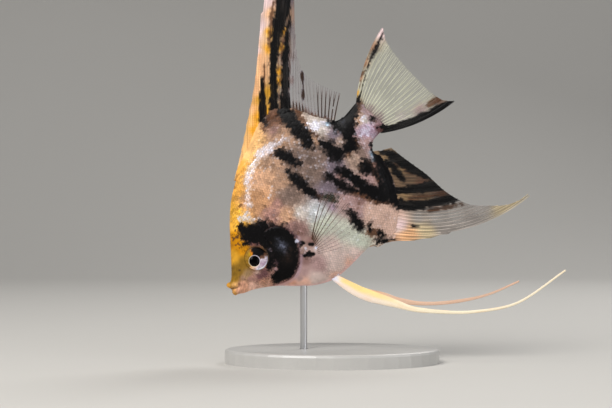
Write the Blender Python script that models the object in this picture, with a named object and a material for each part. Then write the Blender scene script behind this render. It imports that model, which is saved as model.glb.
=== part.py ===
"""Freshwater angelfish (Pterophyllum scalare, marbled koi form): a still, life-size model on a stand.

The fish is modelled in its own frame and then set nose down. In that frame x runs from the snout
to the tail, z runs up to the back, and the left side faces -y. Lengths of the fish are given in
hundredths of the standard length, from the snout to the end of the tail stalk. Fits, thicknesses
and the stand are in metres.
"""

import math

import bmesh
import bpy
import numpy as np
from mathutils import Matrix, Vector

# Driving sizes
STANDARD_LENGTH = 0.070
UNIT = STANDARD_LENGTH / 100
NOSE_DOWN = math.radians(49.8)
SEAM = 0.0003  # the gap left between two pieces that meet
FLOOR_CLEARANCE = 0.016  # from the floor up to the lowest point of the fish

# Body outline and girth, each as (distance from the snout, size)
BACK = [(0.6, -1.5), (2.2, -0.6), (3.9, 0.2), (8.7, 4.2), (16.0, 10.9), (23.2, 17.4), (32.8, 24.3),
        (40.8, 27.9), (54.2, 31.6), (66.7, 34.9), (74.3, 33.5), (80.1, 28.9), (85.1, 17.1),
        (89.4, 10.3), (94.5, 8.7), (101.0, 8.9)]
BELLY = [(0.6, -6.6), (2.8, -8.6), (6.1, -10.4), (11.5, -14.6), (16.3, -19.3), (20.3, -24.3),
         (27.3, -31.6), (35.3, -36.2), (43.1, -37.5), (56.3, -38.6), (65.1, -41.0), (73.5, -37.2),
         (80.1, -31.0), (85.3, -23.1), (90.0, -11.4), (94.0, -8.8), (101.0, -8.8)]
HALF_WIDTH = [(0.6, 1.7), (2.2, 2.6), (5.0, 3.7), (9.0, 5.1), (14.0, 6.6), (20.0, 7.7), (28.0, 8.6),
              (38.0, 8.8), (50.0, 7.7), (62.0, 6.3), (75.0, 4.9), (88.0, 3.4), (101.0, 2.3)]
WIDEST_HEIGHT = [(0.6, -4.2), (10.0, -4.5), (25.0, -6.0), (45.0, -6.0), (70.0, -2.0), (101.0, 0.0)]
UPPER_TAPER = [(0.6, 0.9), (15.0, 1.05), (40.0, 1.3), (101.0, 1.25)]
LOWER_TAPER = [(0.6, 0.9), (15.0, 1.0), (35.0, 1.0), (60.0, 1.3), (101.0, 1.25)]
BODY_RINGS, BODY_SIDES = 34, 26
EDGE_SAMPLES = 600  # finer points for measuring along an outline

# Mouth: each lip is a bent tube, as (forward reach, height, corner reach, corner height, radius)
UPPER_LIP = (1.4, -0.9, 4.9, -4.3, 1.45)
LOWER_LIP = (0.3, -4.9, 4.6, -6.3, 1.7)
MOUTH_HALF_WIDTH = 2.5
LIP_CORNER_THINNING = 0.35
LIP_RINGS, LIP_SIDES = 11, 8

# Seams between the pieces of the body, each a line down or along the flank
JAW_SEAM = [(-3.6, 2.0), (-0.6, -1.3), (0.9, -2.7), (3.4, -5.2), (7.5, -9.2), (11.0, -13.0),
            (12.0, -19.0)]
GILL_SEAM = [(27.0, 32.0), (28.5, 12.0), (30.5, -0.6), (34.4, -2.0), (36.7, -5.5), (37.0, -9.5),
             (35.3, -13.0), (31.0, -16.8), (26.0, -19.6), (20.0, -22.5), (14.0, -29.0)]
TAIL_SEAM = [(89.0, 22.0), (91.6, 6.0), (92.0, 0.0), (91.6, -6.0), (89.0, -24.0)]
GILL_COVER = [(26.2, 0.0), (30.0, 1.4), (35.0, 0.0), (39.5, -4.0), (40.0, -11.0), (37.0, -15.0),
              (31.0, -19.8), (26.0, -20.6), (24.4, -16.0), (25.0, -8.0), (26.2, 0.0)]
GILL_COVER_FACE = 4.2  # from the mid plane to the inner face of each cover
SEAM_STEPS = 14
CUT_REACH = 0.02  # a cutter goes this far out to each side

# Eyes
EYE_CENTRE = (18.5, -2.6)
EYE_RADIUS = 5.7
EYE_HALF_DEPTH = 2.9
EYE_OFFSET = 5.9  # from the mid plane to the middle of the eyeball
EYE_TURN = math.radians(9.0)  # each eye looks a little forward
EYE_SEGMENTS, EYE_RINGS = 16, 10

# Unpaired fins. A base is (first spine, last spine, last soft ray), measured along the body.
# The edge runs through the tips of the spines. The reach and the lean of the soft rays are given
# by the number of the ray.
DORSAL_SPINES, DORSAL_RAYS = 12, 24
DORSAL_BASE = (41.0, 66.6, 89.0)
DORSAL_EDGE = [(43.6, 30.0), (53.2, 35.1), (66.8, 42.6), (77.7, 48.6), (87.4, 55.0), (104.7, 67.3)]
DORSAL_REACH = [(0, 95.0), (3, 86.0), (7, 66.0), (9, 54.0), (10, 34.0), (12, 24.0), (16, 17.0),
                (23, 12.3)]
DORSAL_LEAN = [(0, 35.2), (9, 38.2), (15, 46.0), (19, 40.0), (23, 29.0)]
DORSAL_BOW, DORSAL_SPINE_BOW = 0.085, 0.025
ANAL_SPINES, ANAL_RAYS = 6, 26
ANAL_BASE = (57.5, 66.0, 89.5)
ANAL_EDGE = [(60.6, -42.0), (66.1, -46.4), (69.5, -50.4), (74.0, -54.9), (83.4, -62.0)]
ANAL_REACH = [(0, 64.5), (2, 52.5), (4, 44.0), (8, 31.5), (12, 23.5), (18, 17.0), (22, 11.5),
              (25, 8.0)]
ANAL_LEAN = [(0, -35.3), (2, -40.4), (4, -43.0), (8, -48.5), (18, -50.0), (22, -45.0), (25, -38.0)]
ANAL_BOW, ANAL_SPINE_BOW = 0.23, 0.06  # bend of the longest ray, as a share of its length
SPINE_CROWDING = 1.5  # above 1, the tips of the first spines stand closer together
FIN_LIFT = 0.00036 / UNIT  # clear of the body by a little more than a seam

# Tail fin: its rear edge is (height, reach)
TAIL_RAYS = 16
TAIL_ROOT = 101.2 + SEAM / UNIT
TAIL_ROOT_HALF = 8.4
TAIL_EDGE = [(-25.3, 132.0), (-20.5, 128.2), (-14.4, 127.0), (-4.0, 127.8), (6.6, 129.2),
             (15.9, 131.6), (21.0, 135.2)]
TAIL_BOW = 0.13

# All fin plates: rays stand proud of the skin between them
RAY_ROOT_THICKNESS, RAY_TIP_THICKNESS, MEMBRANE_THICKNESS = 0.0011, 0.0006, 0.0005
WEB_NOTCH = 0.15  # how far the skin ends short of the ray tips, as a share of a step
RAY_STEP = 7.0  # spacing of the points along a ray

# Paired fins: a pelvic feeler is a path of (x, y, z, width), and a pectoral fin is a fan
LEFT_PELVIC = [(34.8, -1.8, -34.4, 3.2), (35.3, -2.6, -38.5, 4.0), (36.8, -3.8, -46.4, 5.4),
               (38.5, -4.6, -51.8, 5.6), (41.3, -5.4, -58.2, 4.8), (43.9, -6.2, -64.1, 3.3),
               (46.5, -7.0, -70.2, 2.2), (51.1, -8.0, -77.3, 1.5), (63.9, -9.8, -92.7, 1.0),
               (80.3, -11.2, -105.0, 0.95), (104.0, -12.4, -111.3, 0.85)]
RIGHT_PELVIC = [(34.8, 1.8, -34.4, 3.2), (35.3, 3.2, -38.5, 4.0), (36.5, 5.2, -46.4, 5.4),
                (38.8, 7.2, -52.6, 5.4), (42.7, 9.7, -59.5, 4.2), (45.3, 11.4, -64.8, 3.0),
                (51.1, 15.0, -74.1, 1.9), (63.4, 20.6, -87.4, 1.6), (75.0, 25.0, -96.5, 1.1),
                (88.8, 29.4, -103.8, 0.9)]
PELVIC_THICKNESS = 0.0008
PELVIC_RINGS, PELVIC_SIDES = 24, 6
PECTORAL_RAYS = 9
PECTORAL_ROOT = [(41.3, -16.2), (37.9, -22.0)]  # upper and lower end
PECTORAL_ANGLES = (25.0, -32.0)
PECTORAL_REACH = [(0.0, 24.0), (0.3, 25.5), (1.0, 15.0)]
PECTORAL_FLARE = math.radians(17.0)
PECTORAL_BOW = 0.04

# Stand
ROD_AT = (22.9, -27.0)  # where the rod enters the belly
ROD_RADIUS = 0.0011
ROD_SEAT = 0.0030  # depth of the rod in the belly, and in the base
BASE_HALF_LENGTH, BASE_HALF_WIDTH, BASE_THICKNESS = 0.034, 0.024, 0.0045
BASE_BEHIND_ROD = 0.009  # how far the middle of the base lies behind the rod
BASE_EDGE = 0.0009
ROUND_SIDES = 20

# Edges sharper than these, in degrees, stay sharp
SOFT_EDGE, STAND_EDGE = 40.0, 30.0

# Red, green, blue, roughness, metallic
FINISHES = {
    "flesh": (0.62, 0.45, 0.34, 0.45, 0.0),
    "gill_plate": (0.05, 0.045, 0.05, 0.35, 0.0),
    "fin": (0.55, 0.42, 0.26, 0.5, 0.0),
    "feeler": (0.78, 0.66, 0.42, 0.5, 0.0),
    "eye": (0.03, 0.03, 0.035, 0.1, 0.0),
    "steel": (0.60, 0.60, 0.60, 0.3, 1.0),
    "lacquer": (0.72, 0.71, 0.69, 0.45, 0.0),
}


def clear_scene():
    for old in list(bpy.data.objects):
        bpy.data.objects.remove(old)


def material(name):
    found = bpy.data.materials.get(name)
    if found:
        return found
    red, green, blue, roughness, metallic = FINISHES[name]
    made = bpy.data.materials.new(name)
    made.use_nodes = True
    shader = made.node_tree.nodes["Principled BSDF"]
    shader.inputs["Base Color"].default_value = (red, green, blue, 1.0)
    shader.inputs["Roughness"].default_value = roughness
    shader.inputs["Metallic"].default_value = metallic
    return made


def add_piece(name, mesh, finish):
    """One named sub-part with its own finish."""
    mesh.materials.clear()
    mesh.materials.append(material(finish))
    piece = bpy.data.objects.new(name, mesh)
    bpy.context.collection.objects.link(piece)
    return piece


def add_cutter(mesh):
    cutter = bpy.data.objects.new("cutter", mesh)
    cutter.hide_render = True
    cutter.display_type = "WIRE"
    bpy.context.collection.objects.link(cutter)
    return cutter


def combine(piece, other, operation):
    """Applies one Boolean to a piece and removes the other object."""
    modifier = piece.modifiers.new("combine", "BOOLEAN")
    modifier.operation = operation
    modifier.object = other
    graph = bpy.context.evaluated_depsgraph_get()
    piece.data = bpy.data.meshes.new_from_object(piece.evaluated_get(graph), depsgraph=graph)
    piece.modifiers.clear()
    bpy.data.objects.remove(other)


def cut_away(piece, mesh):
    combine(piece, add_cutter(mesh), "DIFFERENCE")


def mesh_from(vertices, faces):
    """A mesh with its faces turned outwards."""
    mesh = bpy.data.meshes.new("shape")
    mesh.from_pydata([tuple(map(float, v)) for v in vertices], [], faces)
    work = bmesh.new()
    work.from_mesh(mesh)
    bmesh.ops.recalc_face_normals(work, faces=work.faces)
    if work.calc_volume(signed=True) < 0:
        bmesh.ops.reverse_faces(work, faces=work.faces)
    work.to_mesh(mesh)
    work.free()
    return mesh


def smooth(mesh, angle=SOFT_EDGE):
    mesh.shade_smooth()
    mesh.set_sharp_from_angle(angle=math.radians(angle))
    return mesh


def curve_through(points):
    """A smooth function through (x, value) points that never swings past them."""
    xs, ys = np.array(points, float).T
    step = np.diff(xs)
    slope = np.diff(ys) / step
    tangent = np.r_[slope[0], np.zeros(len(xs) - 2), slope[-1]]
    for i in range(1, len(xs) - 1):
        before, after = slope[i - 1], slope[i]
        if before * after > 0:
            w1, w2 = 2 * step[i] + step[i - 1], step[i] + 2 * step[i - 1]
            tangent[i] = (w1 + w2) / (w1 / before + w2 / after)

    def value(x):
        x = np.clip(x, xs[0], xs[-1])
        i = np.clip(np.searchsorted(xs, x, side="right") - 1, 0, len(step) - 1)
        t = (x - xs[i]) / step[i]
        return ((1 + 2 * t) * (1 - t) ** 2 * ys[i] + t * (1 - t) ** 2 * step[i] * tangent[i]
                + t * t * (3 - 2 * t) * ys[i + 1] + t * t * (t - 1) * step[i] * tangent[i + 1])

    return value


def distance_along(points):
    return np.r_[0, np.cumsum(np.linalg.norm(np.diff(points, axis=0), axis=1))]


def path_through(points, count):
    """Evenly spread points on a smooth path through the given ones."""
    points = np.array(points, float)
    along = distance_along(points[:, :3])
    curves = [curve_through(list(zip(along, column))) for column in points.T]
    return np.array([curve(np.linspace(0, along[-1], count)) for curve in curves]).T


def offset_line(points, distance):
    """A line on the flank moved sideways, to the left of the way it runs."""
    heading = np.gradient(points, axis=0)
    heading /= np.linalg.norm(heading, axis=1)[:, None]
    return points + distance * np.column_stack([-heading[:, 1], heading[:, 0]])


back, belly = curve_through(BACK), curve_through(BELLY)
half_width, widest_height = curve_through(HALF_WIDTH), curve_through(WIDEST_HEIGHT)
upper_taper, lower_taper = curve_through(UPPER_TAPER), curve_through(LOWER_TAPER)


def ring_places():
    """Distances from the snout, closer together where the outline is steep."""
    x = np.linspace(BACK[0][0], BACK[-1][0], EDGE_SAMPLES)
    run = distance_along(np.column_stack([x, back(x), belly(x)]))
    return np.interp(np.linspace(0, run[-1], BODY_RINGS), run, x)


def body_ring(x):
    """One section of the body: a lens, drawn in to a ridge above and below."""
    turn = 2 * np.pi * np.arange(BODY_SIDES) / BODY_SIDES
    upper = np.sin(turn) >= 0
    middle = widest_height(x)
    reach = np.where(upper, back(x) - middle, middle - belly(x))
    taper = np.where(upper, upper_taper(x), lower_taper(x))
    y = half_width(x) * np.sign(np.cos(turn)) * np.abs(np.cos(turn)) ** taper
    return np.column_stack([np.full(BODY_SIDES, x), y, middle + reach * np.sin(turn)]) * UNIT


def flank(x, z):
    """Distance from the mid plane out to the skin."""
    middle = widest_height(x)
    upper = z >= middle
    reach = back(x) - middle if upper else middle - belly(x)
    taper = upper_taper(x) if upper else lower_taper(x)
    return half_width(x) * max(0.0, 1 - ((z - middle) / reach) ** 2) ** (taper / 2)


def tube(rings):
    """A closed mesh through rings that all have the same number of points."""
    count, sides = len(rings), len(rings[0])
    faces = []
    for i in range(count - 1):
        for j in range(sides):
            k = (j + 1) % sides
            faces.append([i * sides + j, i * sides + k, (i + 1) * sides + k, (i + 1) * sides + j])
    faces.append(list(range(sides)))
    faces.append([(count - 1) * sides + j for j in range(sides)])
    return mesh_from(np.vstack(rings), faces)


def lip(reach, height, corner_reach, corner_height, radius):
    """A tube bent round the mouth from one corner to the other."""
    swing = np.linspace(-1, 1, LIP_RINGS)
    toward_corner = swing ** 2
    path = np.column_stack([reach + (corner_reach - reach) * toward_corner,
                            MOUTH_HALF_WIDTH * np.sin(swing * np.pi / 2),
                            height + (corner_height - height) * toward_corner])
    heading = np.gradient(path[:, :2], axis=0)
    heading /= np.linalg.norm(heading, axis=1)[:, None]
    turn = 2 * np.pi * np.arange(LIP_SIDES) / LIP_SIDES
    rings = []
    for centre, (hx, hy), share in zip(path, heading, toward_corner):
        size = radius * (1 - LIP_CORNER_THINNING * share)
        ring = np.outer(np.cos(turn), [hy, -hx, 0]) + np.outer(np.sin(turn), [0, 0, 1])
        rings.append((centre + size * ring) * UNIT)
    return tube(rings)


def prism(outline, low, high):
    """An outline on the flank, drawn through from y = low to y = high."""
    count = len(outline)
    vertices = [(x * UNIT, y, z * UNIT) for y in (low, high) for x, z in outline]
    faces = [list(range(count)), [count + i for i in range(count)]]
    faces += [[i, (i + 1) % count, count + (i + 1) % count, count + i] for i in range(count)]
    return mesh_from(vertices, faces)


def saw_blade(line):
    """A thin blade along a line on the flank, right through the body."""
    line = path_through(line, SEAM_STEPS)
    half = SEAM / 2 / UNIT
    sides = [offset_line(line, half), offset_line(line, -half)[::-1]]
    return prism(np.vstack(sides), -CUT_REACH, CUT_REACH)


def loose_parts(mesh):
    """The separate shells of a mesh, each as a new mesh, from the snout to the tail."""
    work = bmesh.new()
    work.from_mesh(mesh)
    work.verts.ensure_lookup_table()
    shells, unseen = [], set(range(len(work.verts)))
    while unseen:
        shell, front = set(), [unseen.pop()]
        while front:
            place = front.pop()
            shell.add(place)
            near = {e.other_vert(work.verts[place]).index for e in work.verts[place].link_edges}
            front += list(near & unseen)
            unseen -= near
        shells.append(shell)
    shells.sort(key=lambda shell: sum(work.verts[i].co.x for i in shell) / len(shell))
    meshes = []
    for shell in shells:
        copy = work.copy()
        spare = [v for v in copy.verts if v.index not in shell]
        bmesh.ops.delete(copy, geom=spare, context="VERTS")
        meshes.append(bpy.data.meshes.new("part"))
        copy.to_mesh(meshes[-1])
        copy.free()
    work.free()
    return meshes


def eyeball(side, grow=0.0):
    """A flattened ball that looks out to one side: -1 is left, 1 is right."""
    work = bmesh.new()
    bmesh.ops.create_uvsphere(work, u_segments=EYE_SEGMENTS, v_segments=EYE_RINGS, radius=1.0)
    points = np.array([v.co for v in work.verts])
    faces = [[v.index for v in face.verts] for face in work.faces]
    work.free()
    radius, depth = EYE_RADIUS * UNIT + grow, EYE_HALF_DEPTH * UNIT + grow
    ball = points[:, [0, 2, 1]] * [radius, depth, radius]
    turn = -side * EYE_TURN
    x = ball[:, 0] * math.cos(turn) - ball[:, 1] * math.sin(turn)
    y = ball[:, 0] * math.sin(turn) + ball[:, 1] * math.cos(turn)
    centre = np.array([EYE_CENTRE[0], side * EYE_OFFSET, EYE_CENTRE[1]]) * UNIT
    return mesh_from(np.column_stack([x, y, ball[:, 2]]) + centre, faces)


def build_body():
    """The flesh, modelled whole and then parted by thin cuts."""
    body = add_piece("body", tube([body_ring(x) for x in ring_places()]), "flesh")
    for shape in (UPPER_LIP, LOWER_LIP):
        combine(body, add_cutter(lip(*shape)), "UNION")
    for line in (JAW_SEAM, GILL_SEAM, TAIL_SEAM):
        cut_away(body, saw_blade(line))
    names = ("lower_jaw", "head", "trunk", "tail_stalk")
    pieces = {}
    for name, mesh in zip(names, loose_parts(body.data), strict=True):
        pieces[name] = add_piece(name, mesh, "flesh")
    bpy.data.objects.remove(body)
    return pieces


def build_gill_cover(pieces, side, word):
    """The bony plate behind the cheek, cut out of the side of the head."""
    outline = path_through(GILL_COVER, 2 * SEAM_STEPS)[:-1]
    inner = GILL_COVER_FACE * UNIT
    plate = prism(outline, *sorted((side * inner, side * CUT_REACH)))
    cover = add_piece(f"gill_cover_{word}", pieces["head"].data.copy(), "gill_plate")
    combine(cover, add_cutter(plate), "INTERSECT")
    slot = offset_line(outline, SEAM / UNIT)
    cut_away(pieces["head"], prism(slot, *sorted((side * (inner - SEAM), side * CUT_REACH))))
    pieces[cover.name] = cover


def build_eye(pieces, side, word):
    cut_away(pieces["head"], eyeball(side, grow=SEAM))
    pieces[f"eye_{word}"] = add_piece(f"eye_{word}", eyeball(side), "eye")


def fin_ray(root, tip, bow):
    """A function that traces one ray. The ray bends to the left by a share of its length."""
    chord = tip - root
    middle = (root + tip) / 2 + bow * np.array([-chord[1], chord[0]])

    def trace(t):
        t = np.reshape(t, (-1, 1))
        return (1 - t) ** 2 * root + 2 * t * (1 - t) * middle + t * t * tip

    return trace, np.linalg.norm(chord)


def fin_roots(edge, first, last, count, lift):
    """Points spread evenly along the back or the belly, a small gap clear of it."""
    x = np.linspace(first, last, EDGE_SAMPLES)
    line = np.column_stack([x, edge(x)])
    along = distance_along(line)
    line = offset_line(line, lift)
    spread = np.linspace(0, along[-1], count)
    return np.column_stack([np.interp(spread, along, line[:, i]) for i in (0, 1)])


def upright_fin_rays(edge, up, base, spine_count, ray_count, rim, reach, lean, bows):
    """The rays of the dorsal fin (up = 1) or the anal fin (up = -1), from front to back."""
    rays = []
    rim_height = curve_through(rim)
    for i, root in enumerate(fin_roots(edge, base[0], base[1], spine_count, up * FIN_LIFT)):
        share = (i / (spine_count - 1)) ** SPINE_CROWDING
        x = rim[0][0] + (rim[-1][0] - rim[0][0]) * share
        rays.append(fin_ray(root, np.array([x, rim_height(x)]), up * bows[1] * share))
    reach_of, lean_of = curve_through(reach), curve_through(lean)
    soft_roots = fin_roots(edge, base[1], base[2], ray_count + 1, up * FIN_LIFT)[1:]
    for i, root in enumerate(soft_roots):
        angle, length = math.radians(lean_of(i)), reach_of(i)
        tip = root + length * np.array([math.cos(angle), math.sin(angle)])
        rays.append(fin_ray(root, tip, up * bows[0] * length / reach[0][1]))
    return rays


def tail_fin_rays():
    """The rays of the tail fin, from the top to the bottom."""
    edge = curve_through(TAIL_EDGE)
    top, bottom = TAIL_EDGE[-1][0], TAIL_EDGE[0][0]
    rays = []
    for share in np.linspace(0, 1, TAIL_RAYS):
        root = np.array([TAIL_ROOT, TAIL_ROOT_HALF * (1 - 2 * share)])
        height = top + (bottom - top) * share
        tip = np.array([edge(height), height])
        rays.append(fin_ray(root, tip, TAIL_BOW * (1 - 2 * share)))
    return rays


def fin_rows(rays, open_front):
    """Rows of points along the rays, and along the skin between each two.

    With an open front, the skin ahead of a longer ray ends with the shorter one.
    """
    rows = []
    for i, (trace, length) in enumerate(rays):
        steps = max(2, round(length / RAY_STEP))
        rows.append(trace(np.linspace(0, 1, steps + 1)))
        if i + 1 < len(rays):
            trace_next, length_next = rays[i + 1]
            matched = length / length_next if open_front and length < length_next else 1.0
            steps = max(2, round((length + matched * length_next) / 2 / RAY_STEP))
            t = np.linspace(0, 1 - WEB_NOTCH / steps, steps + 1)
            rows.append((trace(t) + trace_next(matched * t)) / 2)
    return rows


def skin_between(front, rear, reach, open_front):
    """Triangles between two rows of point numbers, from the root out."""
    faces, i, j = [], 0, 0
    while i < len(front) - 1 or j < len(rear) - 1:
        front_done, rear_done = i == len(front) - 1, j == len(rear) - 1
        if front_done and open_front and reach[rear[j + 1]] > reach[front[i]] + RAY_STEP / 2:
            break
        if rear_done or (not front_done and reach[front[i + 1]] <= reach[rear[j + 1]]):
            faces.append((front[i], front[i + 1], rear[j]))
            i += 1
        else:
            faces.append((front[i], rear[j + 1], rear[j]))
            j += 1
    return faces


def fin_plate(rays, place, open_front=False):
    """A closed plate on the fin's rays, which stand proud of the skin between them.

    place takes flank points and their offsets from the plate's middle, and gives metres.
    """
    rows = fin_rows(rays, open_front)
    points = np.vstack(rows)
    reach = np.concatenate([np.linalg.norm(row - row[0], axis=1) for row in rows])
    shares = [np.linspace(0, 1, len(row)) for row in rows]
    taper = RAY_TIP_THICKNESS - RAY_ROOT_THICKNESS
    half = np.concatenate([np.full(len(share), MEMBRANE_THICKNESS) if i % 2 else
                           RAY_ROOT_THICKNESS + taper * share for i, share in enumerate(shares)]) / 2
    numbers = np.split(np.arange(len(points)), np.cumsum([len(row) for row in rows])[:-1])
    near = []
    for front, rear in zip(numbers, numbers[1:]):
        near += skin_between(front.tolist(), rear.tolist(), reach, open_front)
    size = len(points)
    faces = near + [[size + k for k in face] for face in near]
    edge_uses = {}
    for face in near:
        for a, b in zip(face, face[1:] + face[:1]):
            edge_uses.setdefault((min(a, b), max(a, b)), []).append((a, b))
    for uses in edge_uses.values():
        if len(uses) == 1:
            a, b = uses[0]
            faces.append([a, b, size + b, size + a])
    return smooth(mesh_from(np.vstack([place(points, -half), place(points, half)]), faces))


def on_mid_plane(points, offset):
    return np.column_stack([points[:, 0] * UNIT, offset, points[:, 1] * UNIT])


def build_upright_fins(pieces):
    dorsal = upright_fin_rays(back, 1, DORSAL_BASE, DORSAL_SPINES, DORSAL_RAYS, DORSAL_EDGE,
                              DORSAL_REACH, DORSAL_LEAN, (DORSAL_BOW, DORSAL_SPINE_BOW))
    anal = upright_fin_rays(belly, -1, ANAL_BASE, ANAL_SPINES, ANAL_RAYS, ANAL_EDGE,
                            ANAL_REACH, ANAL_LEAN, (ANAL_BOW, ANAL_SPINE_BOW))
    plates = {
        "dorsal_fin": fin_plate(dorsal, on_mid_plane, open_front=True),
        "anal_fin": fin_plate(anal, on_mid_plane, open_front=True),
        "tail_fin": fin_plate(tail_fin_rays(), on_mid_plane),
    }
    for name, plate in plates.items():
        pieces[name] = add_piece(name, plate, "fin")


def feeler(path, grow=0.0):
    """A flat blade that narrows to a thread."""
    line = path_through(path, PELVIC_RINGS)
    centre, half_breadth = line[:, :3] * UNIT, line[:, 3] * UNIT / 2
    heading = np.gradient(centre, axis=0)
    heading /= np.linalg.norm(heading, axis=1)[:, None]
    across = np.cross(heading, [0, 1, 0])
    across /= np.linalg.norm(across, axis=1)[:, None]
    outward = np.cross(across, heading)
    half_depth = PELVIC_THICKNESS / 2
    turn = 2 * np.pi * np.arange(PELVIC_SIDES) / PELVIC_SIDES
    rings = []
    for i in range(PELVIC_RINGS):
        wide = (max(half_breadth[i], half_depth) + grow) * across[i]
        deep = (half_depth + grow) * outward[i]
        rings.append(centre[i] + np.outer(np.cos(turn), wide) + np.outer(np.sin(turn), deep))
    rings[0] -= grow * heading[0]
    return smooth(tube(rings))


def build_pelvic_fin(pieces, path, word):
    """A feeler set into a socket in the belly."""
    cut_away(pieces["trunk"], feeler(path, grow=SEAM))
    pieces[f"pelvic_fin_{word}"] = add_piece(f"pelvic_fin_{word}", feeler(path), "feeler")


def build_pectoral_fin(pieces, side, word):
    """A fan behind the gill cover, turned a little outwards from the flank."""
    reach = curve_through(PECTORAL_REACH)
    upper, lower = np.array(PECTORAL_ROOT)
    rays = []
    for share in np.linspace(0, 1, PECTORAL_RAYS):
        angle = math.radians(np.interp(share, (0, 1), PECTORAL_ANGLES))
        root = upper + (lower - upper) * share
        tip = root + reach(share) * np.array([math.cos(angle), math.sin(angle)])
        rays.append(fin_ray(root, tip, PECTORAL_BOW * (1 - 2 * share)))
    widest = max(flank(*upper), flank(*lower))
    hinge = widest * UNIT + SEAM + RAY_ROOT_THICKNESS / 2

    def turned_out(points, offset):
        out = (points[:, 0] - lower[0]) * UNIT
        x = lower[0] * UNIT + out * math.cos(PECTORAL_FLARE)
        y = side * (hinge + out * math.sin(PECTORAL_FLARE)) + offset
        return np.column_stack([x, y, points[:, 1] * UNIT])

    name = f"pectoral_fin_{word}"
    pieces[name] = add_piece(name, fin_plate(rays, turned_out), "fin")


def set_pose(pieces):
    """Turns the fish nose down, over the middle of the floor. Gives the turned frame."""
    turn = Matrix.Rotation(-NOSE_DOWN, 4, "Y")
    points = np.array([turn @ v.co for piece in pieces.values() for v in piece.data.vertices])
    low, high = points.min(axis=0), points.max(axis=0)
    pose = Matrix.Translation((-(low[0] + high[0]) / 2, 0, FLOOR_CLEARANCE - low[2])) @ turn
    for piece in pieces.values():
        piece.data.transform(pose)
    return pose


def upright_bar(x, radius, low, high):
    work = bmesh.new()
    bmesh.ops.create_cone(work, cap_ends=True, segments=ROUND_SIDES, radius1=radius,
                          radius2=radius, depth=high - low)
    bmesh.ops.translate(work, verts=work.verts, vec=(x, 0, (low + high) / 2))
    mesh = bpy.data.meshes.new("bar")
    work.to_mesh(mesh)
    work.free()
    return mesh


def oval_slab(x):
    """The base: a flat oval with its upper edge rounded over."""
    work = bmesh.new()
    turn = 2 * np.pi * np.arange(2 * ROUND_SIDES) / (2 * ROUND_SIDES)
    ring = [work.verts.new((x + BASE_HALF_LENGTH * math.cos(t), BASE_HALF_WIDTH * math.sin(t), 0))
            for t in turn]
    raised = bmesh.ops.extrude_face_region(work, geom=[work.faces.new(ring)])["geom"]
    top = [v for v in raised if isinstance(v, bmesh.types.BMVert)]
    bmesh.ops.translate(work, verts=top, vec=(0, 0, BASE_THICKNESS))
    rim = [e for e in work.edges if e.verts[0] in top and e.verts[1] in top]
    bmesh.ops.bevel(work, geom=rim, offset=BASE_EDGE, segments=2, affect="EDGES", profile=0.5)
    bmesh.ops.recalc_face_normals(work, faces=work.faces)
    mesh = bpy.data.meshes.new("slab")
    work.to_mesh(mesh)
    work.free()
    return mesh


def build_stand(trunk, belly_point):
    """A flat oval base, and one rod set into it and into the belly."""
    x, belly_height = belly_point.x, belly_point.z
    foot, head = BASE_THICKNESS - ROD_SEAT, belly_height + ROD_SEAT
    base = add_piece("stand_base", oval_slab(x + BASE_BEHIND_ROD), "lacquer")
    cut_away(base, upright_bar(x, ROD_RADIUS + SEAM, foot - SEAM, 2 * BASE_THICKNESS))
    cut_away(trunk, upright_bar(x, ROD_RADIUS + SEAM, belly_height - ROD_SEAT, head + SEAM))
    smooth(base.data, STAND_EDGE)
    add_piece("stand_rod", smooth(upright_bar(x, ROD_RADIUS, foot, head)), "steel")


def main():
    clear_scene()
    pieces = build_body()
    for side, word in ((-1, "left"), (1, "right")):
        build_gill_cover(pieces, side, word)
        build_eye(pieces, side, word)
        build_pectoral_fin(pieces, side, word)
    build_upright_fins(pieces)
    build_pelvic_fin(pieces, LEFT_PELVIC, "left")
    build_pelvic_fin(pieces, RIGHT_PELVIC, "right")
    pose = set_pose(pieces)
    build_stand(pieces["trunk"], pose @ (UNIT * Vector((ROD_AT[0], 0, ROD_AT[1]))))
    for piece in pieces.values():
        smooth(piece.data)


main()
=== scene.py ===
"""Looks of the museum model of a marbled freshwater angelfish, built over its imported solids.

The fish is shaped and painted in its own frame: x runs from the snout to the tail, z up to the
back, and the left side faces -y. Its unit is a hundredth of the standard length. Colours are
given as they look on a screen.
"""

import itertools
import math

import bpy
import numpy as np
from mathutils import Matrix, Vector


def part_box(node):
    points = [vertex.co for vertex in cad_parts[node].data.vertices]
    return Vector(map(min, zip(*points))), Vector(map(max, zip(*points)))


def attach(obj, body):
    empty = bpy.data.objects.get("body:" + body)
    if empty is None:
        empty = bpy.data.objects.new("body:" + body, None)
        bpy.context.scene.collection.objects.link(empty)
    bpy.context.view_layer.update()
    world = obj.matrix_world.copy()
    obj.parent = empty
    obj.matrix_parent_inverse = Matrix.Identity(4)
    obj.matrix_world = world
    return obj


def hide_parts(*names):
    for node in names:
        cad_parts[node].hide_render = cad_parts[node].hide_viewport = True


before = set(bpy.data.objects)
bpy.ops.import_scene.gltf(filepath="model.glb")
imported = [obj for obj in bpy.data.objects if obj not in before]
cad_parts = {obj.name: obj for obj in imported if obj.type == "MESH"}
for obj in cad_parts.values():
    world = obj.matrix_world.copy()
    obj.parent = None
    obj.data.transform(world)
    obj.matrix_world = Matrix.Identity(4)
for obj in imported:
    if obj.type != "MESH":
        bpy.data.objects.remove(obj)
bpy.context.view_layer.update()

bl_info = {
    "name": "Marbled angelfish model",
    "version": (1, 0, 0),
    "blender": (4, 5, 0),
    "location": "View3D > Sidebar > Angelfish",
    "description": "Dresses the solids of a freshwater angelfish with skin, scales, fins and eyes",
    "category": "Object",
}

BODY = "root"
UNIT = 0.0007
NOSE_DOWN = math.radians(49.8)
LEFT, RIGHT = -1, 1
SIDES = ((LEFT, "left"), (RIGHT, "right"))

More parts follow.
